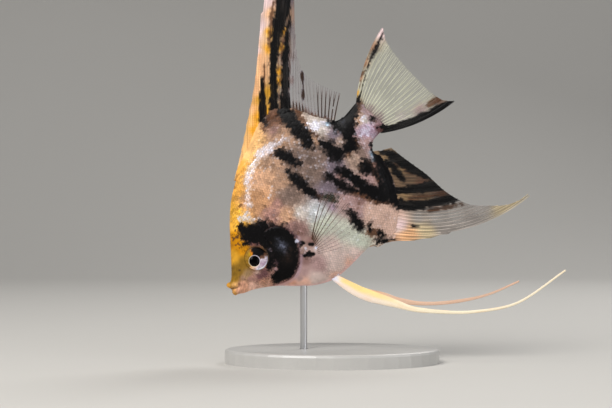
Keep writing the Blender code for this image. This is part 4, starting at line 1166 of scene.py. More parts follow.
def eye_socket(points):
    """Sinks the skin behind each eye."""
    x, y, z = points.T
    away = away_from(x, z, EYE_MIDDLE)
    depth = 2.6 * smoothstep(EYE_OPENING + 0.15, EYE_OPENING - 0.35, away) * (np.abs(y) > 2.0)
    return np.column_stack([x, y - np.sign(y) * depth, z])


def skin_paint(points):
    """Paint of the skin at points (x, y, z), from the marks of each side."""
    colours, gloss = np.empty((len(points), 3)), np.empty(len(points))
    x, y, z = points.T
    for side, here in ((LEFT, y < 0), (RIGHT, y >= 0)):
        colours[here], gloss[here] = body_paint(points[here][:, [0, 2]], side)
    cover = line_side(x, z, GILL_LINE)
    # Painted shade in the groove just behind the edge of the gill cover
    slit_shade = hump(cover, -0.5, 0.4) * smoothstep(12, 17, x)
    colours = mix(colours, hue("mauve") * 0.8, 0.7 * slit_shade)
    lip = hump(cover, -1.5, 0.8) * smoothstep(12, 17, x) * smoothstep(1.5, -2, z)
    colours = mix(colours, hue("lilac"), 0.45 * lip)
    # Painted shade along the groove of the mouth, between the lips
    mouth = hump(line_side(x, z, LIP_LINE), 0, 0.26) * smoothstep(4.6, 2.6, x)
    colours = mix(colours, hue("umber") * 0.6, 0.7 * mouth)
    wrinkles = rough(np.column_stack([0.5 * x - z, x + 0.5 * z]) * [2.4, 0.8], 1.0, 21)
    colours = colours * (1 + 0.13 * wrinkles * smoothstep(13, 9, x))[:, None]
    colours = mix(colours, hue("guanine"), 0.8 * bright_spots(x, z))
    for *place, size in NOSTRILS:
        # Painted shade in the pit of each nostril
        pit_shade = hump(away_from(x, z, place) / size, 0, 0.9)
        colours = mix(colours, hue("umber") * 0.5, 0.85 * pit_shade)
    away = away_from(x, z, EYE_MIDDLE)
    fold = hump(away, EYE_OPENING + 0.3, 0.24)
    behind = smoothstep(-2.2, 0.6, x - EYE_MIDDLE[0] + 0.5 * (z - EYE_MIDDLE[1]))
    colours = mix(colours, hue("tan") * 0.65, 0.8 * fold * behind)
    # Painted shade in the eye's socket, under the rim of the eyeball
    socket = smoothstep(EYE_OPENING - 0.5, EYE_OPENING - 0.9, away)
    return mix(colours, hue("umber") * 0.6, socket), gloss


def build_skin():
    """One skin over the flesh, with the forms of the head pressed into it."""
    size = sizes()
    inset = size.coat_depth / UNIT
    shells = [(body_rings(inset), tube_faces(BODY_RINGS, BODY_SIDES))]
    for lip in (UPPER_LIP, LOWER_LIP):
        shells.append((lip_rings(*lip), tube_faces(LIP_RINGS, LIP_SIDES)))
    for parts in ((back, 1, DORSAL_BASE, BACK_SHEATH), (belly, -1, ANAL_BASE, BELLY_SHEATH)):
        points, sides = sheath(*parts, 0.8 * inset)
        shells.append((points, tube_faces(SHEATH_RINGS, sides)))
    mesh = fused(shells, size.skin_grid / UNIT)
    edges = read(mesh.edges, "vertices", 2, np.int64)
    points = relaxed(read(mesh.vertices, "co", 3), edges, 4)
    mesh.vertices.foreach_set("co", points.ravel())
    mesh.update()
    normals = read(mesh.vertex_normals, "vector", 3)
    relief = face_relief(points[:, 0], points[:, 2])
    relief *= smoothstep(0.25, 0.65, np.abs(normals[:, 1]))
    points = relaxed(eye_socket(points + relief[:, None] * normals), edges, 1)
    colours, gloss = skin_paint(points)
    shell = Shell()
    shell.add(points, [list(face.vertices) for face in mesh.polygons], colours, gloss=gloss)
    bpy.data.meshes.remove(mesh)
    make_piece("skin", shell, flesh_material(),
               ("head", "lower_jaw", "trunk", "tail_stalk", "gill_cover_left", "gill_cover_right"))


# Scales


def spaced(low, high, middle, reach, widest, narrowest):
    """Rows between two limits, widest apart near the middle."""
    rows = [low]
    while rows[-1] < high:
        away = min(1.0, abs(rows[-1] - middle) / reach)
        rows.append(rows[-1] + widest + (narrowest - widest) * away ** 2)
    return rows


def scale_lattice(side, seed, fineness, low_x, high_x):
    """Staggered rows of scales: (x, z, length, width), each size a share of the largest."""
    size = sizes()
    (middle_x, middle_z), (reach_x, reach_z) = SCALE_MIDDLE, SCALE_REACH
    pitch, row_gap = fineness * size.scale_pitch / UNIT, fineness * size.scale_row / UNIT
    columns = np.array(spaced(low_x, high_x, middle_x, reach_x, pitch, SMALLEST_GAP * pitch))
    columns_between = np.r_[(columns[1:] + columns[:-1]) / 2, columns[-1] + pitch / 2]
    rows = spaced(*SCALE_HEIGHTS, middle_z, reach_z, row_gap, SMALLEST_GAP * row_gap)
    places = []
    for i, z in enumerate(rows):
        across = 1 - (1 - SMALLEST_WIDTH) * min(1.0, abs(z - middle_z) / reach_z) ** 2
        for x in (columns, columns_between)[i % 2]:
            along = 1 - (1 - SMALLEST_LENGTH) * min(1.0, abs(x - middle_x) / reach_x) ** 2
            places.append((x, z, fineness * along, fineness * across))
    places = np.array(places)
    random = np.random.default_rng(seed + side)
    places[:, :2] += random.normal(0, SCALE_SCATTER, (len(places), 2)) * pitch
    return places, random.uniform(-0.6, 0.6, len(places))


def body_places(side):
    """Where the scales of one flank sit."""
    places, ragged = scale_lattice(side, BODY_SEED, 1.0, *BODY_SPAN)
    x, z = places[:, 0], places[:, 1]
    rise = (1.9 + ragged) * smoothstep(64, 70, x) * smoothstep(84, 76, x)
    fall = (2.8 + 2 * ragged) * smoothstep(60, 66, x) * smoothstep(89, 86, x)
    inside = (z < back(x) - 0.7 + rise) & (z > belly(x) + 0.7 - fall)
    inside &= x < 102.0 + ragged - 0.01 * z ** 2
    inside &= (line_side(x, z, GILL_LINE) < -1.2) & (x + 0.6 * np.maximum(z, 0) > 33.5)
    inside &= ~((z < -16) & (x < 26))
    return places[inside & (np.abs(line_side(x, z, LOBE_LINE)) > 1.7)]


def face_places(side):
    """Where the small scales of the nape, cheek and gill cover sit. The snout is bare."""
    places, ragged = scale_lattice(side, FACE_SEED, FACE_FINENESS, *FACE_SPAN)
    x, z = places[:, 0], places[:, 1]
    inside = (z < back(x) - 0.5) & (z > belly(x) + 0.6) & (x + 0.6 * np.maximum(z, 0) < 33.9)
    inside &= x - 0.55 * z > 15.0 + 0.8 * ragged
    inside &= away_from(x, z, EYE_MIDDLE) > EYE_OPENING + 1.1
    inside &= (z > 2.6) | (line_side(x, z, GILL_LINE) > 0.35)
    return places[inside & (np.abs(line_side(x, z, PREOPERCLE_LINE) + 0.35) > 0.45)]


def surface_at(x, z, step=0.05):
    """The flank's points, with the ways that run along it, across it and out of it."""
    y = girth(x, z)
    along = np.column_stack([np.full(len(x), 2 * step),
                             girth(x + step, z) - girth(x - step, z), np.zeros(len(x))])
    across = np.column_stack([np.zeros(len(x)), girth(x, z + step) - girth(x, z - step),
                              np.full(len(x), 2 * step)])
    along[:, 1] = np.clip(along[:, 1], -2 * step, 2 * step)
    across[:, 1] = np.clip(across[:, 1], -4 * step, 4 * step)
    along, across = unit_rows(along), unit_rows(across)
    normal = unit_rows(np.cross(across, along))
    normal *= np.sign(normal[:, 1:2] + 1e-9)
    return np.column_stack([x, y, z]), along, unit_rows(np.cross(normal, along)), normal


def scale_form():
    """One scale as (u, v, height, ring number) rows: u runs back to the free edge."""
    rows = [(0.05, 0.0, 1.0, 0.0)]
    for ring, (reach, height) in enumerate(((0.55, 0.75), (1.0, 0.0)), start=1):
        for k in range(SCALE_SECTORS):
            turn = 2 * math.pi * k / SCALE_SECTORS
            blunt = 1 + 0.08 * math.cos(4 * turn)
            rows.append((reach * blunt * math.cos(turn), reach * blunt * math.sin(turn), height,
                         ring / 2))
    return np.array(rows)


def scale_faces():
    """Faces of one scale: a dome of two rings, closed underneath."""
    faces, last = [], 1 + SCALE_SECTORS
    for k in range(SCALE_SECTORS):
        following = (k + 1) % SCALE_SECTORS
        faces.append([0, 1 + k, 1 + following])
        faces.append([1 + k, last + k, last + following, 1 + following])
    faces.append([last + k for k in range(SCALE_SECTORS)][::-1])
    return faces


def skin_map(points, side):
    """Places on an unwrap of the body: along it, and round it from the belly to the back."""
    x, z = points[:, 0], points[:, 2]
    middle = widest_height(x)
    reach = section(x, z >= middle, middle)[0] + 3
    around = 0.02 + 0.46 * (np.arcsin(np.clip((z - middle) / reach, -1, 1)) / np.pi + 0.5)
    return np.column_stack([0.02 + 0.96 * np.clip(x / 106, 0, 1),
                            around if side == LEFT else 0.5 + around])


def build_scales(name, side, places, relief, bulk):
    """A piece of scales. relief is how far the skin stands out, and bulk how proud they lie."""
    size = sizes()
    x, z, along_size, across_size = places.T
    count = len(x)
    random = np.random.default_rng(SCALE_SEED + side)
    roots, along, across, normal = surface_at(x, z)
    roots = roots + relief[:, None] * normal
    lean = np.radians(random.normal(0, 4, count) + 10 * (z + 4) / 38 * smoothstep(40, 80, x))
    heading = unit_rows(along * np.cos(lean)[:, None] + across * np.sin(lean)[:, None])
    sideways = unit_rows(np.cross(normal, heading)) * np.sign(across[:, 2:3])
    long = SCALE_LENGTH * size.scale_pitch / UNIT * along_size * random.normal(1, 0.05, count)
    wide = SCALE_WIDTH * size.scale_row / UNIT * across_size * random.normal(1, 0.05, count)
    smooth = smoothstep(9, 12, back(x) - z) + smoothstep(66, 70, x)
    flat = bulk * (0.45 + 0.55 * np.clip(smooth, 0, 1))
    lift, dome = size.scale_lift / UNIT * np.sqrt(along_size) * flat, 0.07 * wide * flat
    tip = random.normal(0, 0.03, (count, 2)) * flat[:, None]
    u, v, height, ring = scale_form().T
    rise = (0.5 * lift[:, None] * u + dome[:, None] * height
            + tip[:, :1] * long[:, None] * u + tip[:, 1:] * wide[:, None] * v)
    rise -= 0.45 * lift[:, None]
    points = (roots[:, None] + (long[:, None] * u)[..., None] * heading[:, None]
              + (wide[:, None] * v)[..., None] * sideways[:, None]
              + rise[..., None] * normal[:, None])
    shape = points.reshape(-1, 3)
    colours, gloss = scale_paint(shape[:, [0, 2]], np.column_stack([x, z]), side, random, ring,
                                 u, bulk)
    shape[:, 1] *= side
    faces = [[i * len(u) + k for k in face] for i in range(count) for face in scale_faces()]
    if side == LEFT:
        faces = [face[::-1] for face in faces]
    rings = np.tile(ring, count)
    shell = Shell()
    shell.add(shape, faces, colours, rings=rings, gloss=gloss)
    mesh = make_piece(name, shell, scale_material()).data
    crease(mesh, rings == 1)
    root_map = np.repeat(skin_map(np.column_stack([x, roots[:, 1], z]), side), len(u), axis=0)
    patch = root_map + SCALE_PATCH * np.column_stack([np.tile(u, count), np.tile(v, count)])
    corners = read(mesh.loops, "vertex_index", 1, np.int64).ravel()
    layer = mesh.uv_layers.new(name="OFBake")
    layer.uv.foreach_set("vector", patch[corners].astype(np.float32).ravel())


def scale_paint(points, places, side, random, ring, u, bulk):
    """Colour and gloss of scales at their points (x, z), from those at their places."""
    count, each = len(places), len(ring)
    grain = random.uniform(0, 1, count)
    colours, gloss = body_paint(points, side, np.repeat(grain, each))
    calm = 1 - 0.6 * smoothstep(-8, -20, places[:, 1])
    stray = random.normal(0, 0.42, (count, 2)) * calm[:, None]
    middles = body_paint(places + [0.3, 0.0] + stray, side, grain)[0]
    colours = mix(colours, np.repeat(middles, each, axis=0), 0.65)
    ring, u = np.tile(ring, count), np.tile(u, count)
    # Each scale is lighter or darker at random, a little lighter in its middle as a painted glint,
    # and darker towards its rim and its free edge
    light = 1.0 + 0.22 * np.repeat(calm * (grain - 0.55), each) + 0.10 * (0.6 - ring)
    colours = colours * (light - 0.10 * smoothstep(0.5, 1.0, u) * ring)[:, None]
    # Painted glints: random scales, more often where the body is silvery, get guanine white
    # painted over their middle, and are made glossier too
    chance = glints(places, side) * (1 - 0.9 * marbling(places, side)[0]) * calm
    lit = smoothstep(-0.12, 0.12, chance - random.uniform(0, 1, count))
    lit = lit * random.uniform(0.35, 1.0, count) * bulk
    lit *= 0.5 + 0.5 * silver(places, side)
    tinge = random.uniform(0, 1, (count, 1)) < 0.35
    shine = np.where(tinge, 0.6 * hue("guanine") + 0.4 * hue("lilac_pale"), hue("guanine"))
    sparkle = np.repeat(lit, each) * (1 - 0.85 * ring)
    colours = mix(colours, np.repeat(shine, each, axis=0), sparkle)
    return np.clip(colours, 0, 1), np.clip(gloss + 0.5 * sparkle, 0, 1)


# Fins


def fin_ray(root, tip, bow):
    """A function that traces one ray. The ray bends to the left by a share of its length."""
    chord = tip - root
    middle = (root + tip) / 2 + bow * np.array([-chord[1], chord[0]])

    def trace(t):
        t = np.reshape(t, (-1, 1))
        return (1 - t) ** 2 * root + 2 * t * (1 - t) * middle + t * t * tip

    return trace, np.linalg.norm(chord)


def fin_roots(edge, first, last, count, lift):
    """Points spread evenly along the back or the belly, moved off it by a lift."""
    x = np.linspace(first, last, FIN_SAMPLES)
    line = np.column_stack([x, edge(x)])
    along = distance_along(line)
    heading = unit_rows(np.gradient(line, axis=0))
    line = line + lift * np.column_stack([-heading[:, 1], heading[:, 0]])
    spread = np.linspace(0, along[-1], count)
    return np.column_stack([np.interp(spread, along, line[:, i]) for i in (0, 1)])


def upright_fin_rays(edge, up, base, spine_count, ray_count, rim, reach, lean, bows):
    """The rays of the dorsal fin (up = 1) or the anal fin (up = -1), from front to back."""
    rays = []
    rim_height = curve_through(rim)
    for i, root in enumerate(fin_roots(edge, base[0], base[1], spine_count, up * ROOT_LIFT)):
        share = (i / (spine_count - 1)) ** SPINE_CROWDING
        x = rim[0][0] + (rim[-1][0] - rim[0][0]) * share
        rays.append(fin_ray(root, np.array([x, rim_height(x)]), up * bows[1] * share))
    reach_of, lean_of = curve_through(reach), curve_through(lean)
    soft_roots = fin_roots(edge, base[1], base[2], ray_count + 1, up * ROOT_LIFT)[1:]
    for i, root in enumerate(soft_roots):
        angle, length = math.radians(lean_of(i)), reach_of(i)
        tip = root + length * np.array([math.cos(angle), math.sin(angle)])
        rays.append(fin_ray(root, tip, up * bows[0] * length / reach[0][1]))
    return rays


def tail_fin_rays():
    """The rays of the tail fin, from the upper lobe down."""
    edge = curve_through(TAIL_EDGE)
    top, bottom = TAIL_EDGE[-1][0], TAIL_EDGE[0][0]
    upper, lower = np.array(TAIL_ROOT)
    rays = []
    for share in np.linspace(0, 1, TAIL_RAYS):
        height = top + (bottom - top) * share
        rays.append(fin_ray(upper + (lower - upper) * share, np.array([edge(height), height]),
                            TAIL_BOW * (1 - 2 * share)))
    return rays


def fin_paint(points, along, number, tints, strokes, browns, seed):
    """Paint of a fin at points (x, z), streaked along its rays."""
    streak = np.column_stack([number, along / 9])
    x, z = points.T
    shift = 0.45 * rough(points, 2.0, seed)
    colours = blended(x + shift, z - shift, tints, cover=True, crispness=1.7)
    frayed = 0.55 * rough(streak, 0.8, seed + 1) + 0.45 * rough(points, 0.8, seed + 2)
    black = smoothstep(-0.3, 0.45, stroke_depth(x + shift, z, strokes) + frayed)
    black *= 1 - 0.12 * smoothstep(0.1, 0.6, rough(streak * [1.0, 0.5], 0.45, seed + 5))
    brown = smoothstep(-0.5, 0.6, stroke_depth(x, z + shift, browns) + 1.3 * frayed)
    tone = colours[:, :3] * (1 + 0.10 * rough(streak, 0.6, seed + 3))[:, None]
    tone = mix(tone, hue("brown"), 0.8 * brown)
    tone = mix(tone, hue("ink"), black)
    cover = np.maximum(colours[:, 3], np.maximum(0.97 * black, 0.85 * brown))
    return np.column_stack([np.clip(tone, 0, 1), np.clip(cover, 0, 1)])


def add_ray(shell, path, radius, tip_radius, paint, along, sides=7):
    """A tapered ray along a path, a little wider in the plane of the fin than across it."""
    size = tip_radius + (radius - tip_radius) * (1 - np.linspace(0, 1, len(path))) ** 0.8
    shell.add(tube_points(path, RAY_FLATNESS * size, size, sides), tube_faces(len(path), sides),
              np.repeat(paint, sides, axis=0), joints=np.repeat(along / JOINT_LENGTH, sides))


def between(near, far):
    """Rows of points that run from one line across to another."""
    return near[:, None] * (1 - WEB_SHARES)[:, None] + far[:, None] * WEB_SHARES[:, None]


def add_web(shell, near, far, half, colours, along):
    """Thin skin between two lines of points, closed all round and thicker along the rays."""
    rows = len(near)
    up = between(near, far)
    down = up.copy()
    thick = half * (1 + 1.2 * (2 * WEB_SHARES - 1) ** 4)
    up[..., 1] += thick
    down[..., 1] -= thick
    points = np.concatenate([up.reshape(-1, 3), down.reshape(-1, 3)])
    size, faces = rows * WEB_COLUMNS, []
    for i in range(rows - 1):
        for j in range(WEB_COLUMNS - 1):
            a = i * WEB_COLUMNS + j
            b = a + WEB_COLUMNS
            faces += [[a, a + 1, b + 1, b], [size + a, size + b, size + b + 1, size + a + 1]]
    rim = (list(range(WEB_COLUMNS))
           + [i * WEB_COLUMNS + WEB_COLUMNS - 1 for i in range(1, rows)]
           + [(rows - 1) * WEB_COLUMNS + j for j in range(WEB_COLUMNS - 2, -1, -1)]
           + [i * WEB_COLUMNS for i in range(rows - 2, 0, -1)])
    faces += [[b, a, size + a, size + b] for a, b in zip(rim, rim[1:] + rim[:1])]
    shell.add(points, faces, np.vstack([colours, colours]),
              joints=np.tile(np.repeat(along / JOINT_LENGTH, WEB_COLUMNS), 2))


def ray_gap(rays, i):
    """How far apart the tips of neighbouring rays stand, at most two units."""
    tips = [rays[k][0](1.0)[0] for k in (max(i - 1, 0), min(i + 1, len(rays) - 1))]
    chord = rays[i][0](1.0)[0] - rays[i][0](0.9)[0]
    across = np.array([-chord[1], chord[0]]) / np.linalg.norm(chord)
    return min(2.0, abs((tips[1] - tips[0]) @ across) / 2)


def build_fin(name, rays, spines, place, paint, node, root_depth=2.0, fineness=1.0):
    """Rays and webs of one fin, as two pieces. place takes flat points to their place in space."""
    ray_shell, web_shell = Shell(), Shell()
    for i in range(len(rays)):
        add_forked_ray(ray_shell, rays, i, spines, place, paint, root_depth, fineness)
    for i in range(len(rays) - 1):
        (trace, length), (trace_next, length_next) = rays[i], rays[i + 1]
        end_next = 1.0
        if i < spines and length < length_next:
            end_next = length / length_next + 0.55 * (1 - length / length_next) * (i + 1 < spines)
        rows = max(4, int(max(length, length_next * end_next) / WEB_STEP))
        t = np.linspace(-root_depth / max(length, length_next), 1, rows)
        near, far = trace(t), trace_next(t * end_next)
        along = np.maximum(t, 0) * (length + length_next * end_next) / 2
        colours = paint(between(near, far).reshape(-1, 2), np.repeat(along, WEB_COLUMNS),
                        i + np.tile(WEB_SHARES, rows), on_ray=False)
        add_web(web_shell, place(near), place(far), sizes().web_thickness / UNIT / 2, colours,
                along)
    make_piece(f"{name}_rays", ray_shell, fin_material(f"{name}_ray", False), (node,))
    make_piece(f"{name}_web", web_shell, fin_material(f"{name}_web", True), (node,))


def add_forked_ray(shell, rays, i, spines, place, paint, root_depth, fineness):
    """One ray of a fin: a spine, or a soft ray with two branches."""
    size = sizes()
    trace, length = rays[i]
    tip_radius = size.ray_tip_radius / UNIT
    radius = fineness * (size.spine_radius if i < spines else size.ray_radius) / UNIT
    t = np.linspace(-root_depth / length, 1, max(6, int(length / RAY_STEP)))
    flat, along = trace(t), np.maximum(t, 0) * length

    def add(points, along, root, tip, sides=7):
        colours = paint(points, along, np.full(len(points), float(i)), on_ray=True)
        add_ray(shell, place(points), root, tip, colours, along, sides)

    if i < spines:
        add(flat, along, radius, tip_radius)
        return
    fork = FORK_START + 0.1 * (i % 3 - 1)
    stem, branch = t <= fork + FORK_OVERLAP, t >= fork - FORK_OVERLAP
    add(flat[stem], along[stem], radius, 0.75 * radius)
    spread = FORK_SPREAD * ray_gap(rays, i) * smoothstep(fork, 1.15, t[branch])[:, None]
    heading = unit_rows(np.gradient(flat, axis=0))[branch]
    for turn in (-1, 1):
        moved = flat[branch] + turn * spread * np.column_stack([-heading[:, 1], heading[:, 0]])
        add(moved, along[branch], 0.62 * radius, tip_radius, 6)


def waving(points, amount, seed):
    """Flat points of a mid-line fin set in space, with a gentle wave towards the tips."""
    x, z = points.T
    off = np.maximum(np.maximum(z - back(x), belly(x) - z), np.maximum(x - 103.0, 0))
    y = amount * smoothstep(3, 30, off) * rough(points, 14.0, seed)
    return np.column_stack([x, y, z])


def pattern(tints, strokes, browns, seed, ray_tone, ray_cover, knots=(), dark_from=99,
            web_shade=1.0):
    """A function that paints a fin. Where the web is clear, the rays have their own tone.

    The rays from dark_from on are dark at the root, and knots are dark spots on rays and webs.
    """
    def paint(points, along, number, on_ray):
        colours = fin_paint(points, along, number, tints, strokes, browns, seed)
        if on_ray:
            thin = smoothstep(0.9, 0.3, colours[:, 3])
            colours[:, :3] = mix(colours[:, :3], hue(ray_tone), 0.8 * thin)
            root = smoothstep(4.6, 1.6, along) * (number < dark_from - 4) * bool(knots)
            root = np.maximum(root, 0.8 * (number >= dark_from) * smoothstep(16, 7, along))
            colours[:, :3] = mix(colours[:, :3], hue("umber") * 0.6, thin * root)
            colours[:, 3] = np.maximum(colours[:, 3], ray_cover + (0.9 - ray_cover) * root)
        else:
            colours[:, :3] *= (1 - (1 - web_shade) * smoothstep(2, 9, along))[:, None]
        if knots:
            knot = smoothstep(-0.2, 0.2, stroke_depth(*points.T, knots))
            colours[:, :3] = mix(colours[:, :3], hue("umber") * 0.5, knot)
            colours[:, 3] = np.maximum(colours[:, 3], 0.95 * knot)
        colours[:, 3] = np.minimum(colours[:, 3], 1.0)
        return colours
    return paint


def build_dorsal():
    """The dorsal fin, tall in front, with a low clear part behind it."""
    rays = upright_fin_rays(back, 1, DORSAL_BASE, DORSAL_SPINES, DORSAL_RAYS, DORSAL_EDGE,
                            DORSAL_REACH, DORSAL_LEAN, (DORSAL_BOW, DORSAL_SPINE_BOW))
    paint = pattern(DORSAL_TINTS, DORSAL_STROKES, DORSAL_BROWN, DORSAL_SEED + 1, "dusk",
                    ray_cover=0.10, knots=DORSAL_KNOTS, dark_from=DORSAL_SPINES + 18,
                    web_shade=0.92)
    build_fin("dorsal", rays, DORSAL_SPINES, lambda p: waving(p, 0.55, DORSAL_SEED), paint,
              "dorsal_fin")


def build_anal():
    """The anal fin, drawn out into a point."""
    rays = upright_fin_rays(belly, -1, ANAL_BASE, ANAL_SPINES, ANAL_RAYS, ANAL_EDGE,
                            ANAL_REACH, ANAL_LEAN, (ANAL_BOW, ANAL_SPINE_BOW))
    paint = pattern(ANAL_TINTS, ANAL_STROKES, ANAL_BROWN, ANAL_SEED + 1, "bone",
                    ray_cover=0.8, web_shade=0.72)
    build_fin("anal", rays, ANAL_SPINES, lambda p: waving(p, 0.55, ANAL_SEED), paint, "anal_fin")


def build_tail():
    """The tail fin, clear but for its edges."""
    paint = pattern(TAIL_TINTS, TAIL_STROKES, TAIL_BROWN, TAIL_SEED + 1, "ray_pale",
                    ray_cover=0.7)
    build_fin("tail", tail_fin_rays(), 0, lambda p: waving(p, 0.5, TAIL_SEED), paint, "tail_fin",
              fineness=0.72)


def build_pectoral(side, word):
    """A clear fan on the flank, its roots bent in to the lobe of flesh."""
    reach = curve_through(PECTORAL_REACH)
    upper, lower = np.array(PECTORAL_ROOT)
    rays = []
    for share in np.linspace(0, 1, PECTORAL_RAYS):
        angle = math.radians(np.interp(share, (0, 1), PECTORAL_ANGLES))
        root = upper + (lower - upper) * share
        tip = root + reach(share) * np.array([math.cos(angle), math.sin(angle)])
        rays.append(fin_ray(root, tip, PECTORAL_BOW * (1 - 2 * share)))
    hinge = max(flank(*upper), flank(*lower)) + PECTORAL_HINGE

    def place(points):
        x, z = points.T
        out = x - lower[0]
        height = np.clip((z - lower[1]) / (upper[1] - lower[1]), 0, 1)
        free = smoothstep(-0.5, 5.0, x - (lower[0] + (upper[0] - lower[0]) * height))
        y = flank(x, z) * (1 - free) + (hinge + out * math.sin(PECTORAL_FLARE)) * free
        x = lower[0] + out * math.cos(PECTORAL_FLARE) * free + out * (1 - free)
        return np.column_stack([x, side * y, z])

    def paint(points, along, number, on_ray):
        tone = np.tile(hue("umber") if on_ray else hue("glass"), (len(points), 1))
        low = smoothstep(0.25, 0.5, number / PECTORAL_RAYS)
        tone = mix(tone, hue("rose_grey"), 0.8 * low)
        cover = (0.75 - 0.55 * low if on_ray else 0.05) * (1 - 0.4 * smoothstep(8, 24, along))
        return np.column_stack([tone, cover])

    build_fin(f"pectoral_{word}", rays, 1, place, paint, f"pectoral_fin_{word}",
              root_depth=1.2, fineness=0.55)


def build_feeler(path, side, word):
    """A pelvic fin: a few rays bound into a blade that runs out into a thread."""
    line = path_through(path, PELVIC_RINGS, PELVIC_CROWDING)
    centre, breadth = line[:, :3], line[:, 3] / 2
    t = np.linspace(0, 1, PELVIC_RINGS) ** PELVIC_CROWDING
    deep = sizes().feeler_thickness / UNIT / 2
    turn = turns(PELVIC_SIDES)
    across, outward = tube_frame(centre)
    wide = np.maximum(breadth, 0.8 * deep)
    ribs = 0.62 + 0.38 * np.abs(np.cos(3 * turn + 0.4))
    blade = smoothstep(1.0, 2.2, wide / deep)[:, None]
    thick = deep * (blade * ribs + (1 - blade)) * (0.75 + 0.25 * (1 - t))[:, None]
    edge = 1 - 0.06 * blade[:, 0] * (0.5 + 0.5 * rough(np.column_stack([8 * t, 8 * t]), 0.5, 50))
    points = (centre[:, None]
              + (np.cos(turn) * (wide * edge)[:, None])[..., None] * across[:, None]
              + (np.sin(turn) * thick)[..., None] * outward[:, None]).reshape(-1, 3)
    upper = np.tile(np.cos(turn), PELVIC_RINGS) * np.sign(across[0, 2] + 1e-9)
    shell = Shell()
    shell.add(points, tube_faces(PELVIC_RINGS, PELVIC_SIDES),
              feeler_paint(upper, np.repeat(t, PELVIC_SIDES), side), joints=0.5)
    for lift, start, end, tone in PELVIC_RAYS:
        inner = (t > start) & (t < end)
        slip = lift * wide[inner] * smoothstep(start, start + 0.08, t[inner])
        reach = lift * 0.9 * smoothstep(end - 0.10, end, t[inner])
        ray = centre[inner] + (slip + reach)[:, None] * across[inner]
        colours = mix(np.tile(hue(tone), (len(ray), 1)), hue("brown"),
                      0.7 * smoothstep(end - 0.01, end, t[inner]))
        add_ray(shell, ray, 0.8 * deep, 0.25 * deep, colours, np.full(len(ray), 0.55))
    make_piece(f"feeler_{word}", shell, fin_material(f"feeler_{word}", False),
               (f"pelvic_fin_{word}",))


def feeler_paint(upper, far, side):
    """Paint of a feeler. upper is how high a point sits on it, and far how near the tip it is."""
    streak = rough(np.column_stack([upper * 2.2, far * 22]), 1.0, 51)
    pale = 0.5 * hue("cream") + 0.5 * np.array([1.0, 0.98, 0.92])
    colours = mix(np.tile(0.4 * hue("shell") + 0.6 * pale, (len(far), 1)), hue("straw_gold"),
                  smoothstep(-0.25, 0.3, upper + 0.25 * streak) * smoothstep(0.36, 0.26, far))
    colours = mix(colours, pale, smoothstep(0.14, 0.34, far))
    colours = mix(colours, hue("guanine"), 0.9 * smoothstep(0.05, 0.01, far))
    colours = mix(colours, hue("peach"), 0.25 * smoothstep(0.2, 0.8, streak))
    if side == RIGHT:
        colours = mix(colours, hue("throat") * 1.06, 0.55)
    return np.clip(colours, 0, 1)


# Eyes


def iris_colour(angle, radius):
    """Colours of the iris by angle in degrees and by distance, a share of the eye's radius."""
    angles = np.array([stop for stop, _ in IRIS_SECTORS], float)
    hues = np.array([hue(name) for _, name in IRIS_SECTORS])
    tone = np.column_stack([np.interp(angle, angles, hues[:, i]) for i in range(3)])
    # Painted highlight: guanine white along the lower and rear rim of the iris
    rear_rim_highlight = smoothstep(-140, -115, angle) * smoothstep(-14, -34, angle)
    tone = mix(tone, hue("guanine"), 0.95 * rear_rim_highlight * smoothstep(0.86, 0.91, radius))
    upper = smoothstep(-34, -14, angle) * smoothstep(76, 56, angle)
    tone = mix(tone, hue("tan") * 0.6, upper * smoothstep(0.86, 0.94, radius))
    front = smoothstep(52, 76, angle) + smoothstep(-166, -180, angle)
    return mix(tone, hue("olive_gold"), 0.9 * np.clip(front, 0, 1) * smoothstep(0.72, 0.9, radius))


def eye_points(profile):
    """Rings of an eye. The profile is (radius, height, share of the pupil's shift)."""
    turn = turns(EYE_SECTORS)
    return np.concatenate([np.column_stack([radius * np.cos(turn) + PUPIL_SHIFT[0] * pull,
                                            np.full(EYE_SECTORS, height),
                                            radius * np.sin(turn) + PUPIL_SHIFT[1] * pull])
                           for radius, height, pull in profile])


def add_eye_part(shell, profile, side, colours, **marks):
    """Closed rings looking out along y, set into one side of the head."""
    x, y, z = eye_points(profile).T
    sine, cosine = math.sin(-EYE_TURN), math.cos(-EYE_TURN)
    points = np.column_stack([x * cosine - y * sine + EYE_MIDDLE[0],
                              side * (x * sine + y * cosine + EYE_OFFSET), z + EYE_MIDDLE[1]])
    faces = tube_faces(len(profile), EYE_SECTORS)
    if side == LEFT:
        faces = [face[::-1] for face in faces]
    shell.add(points, faces, colours, **marks)


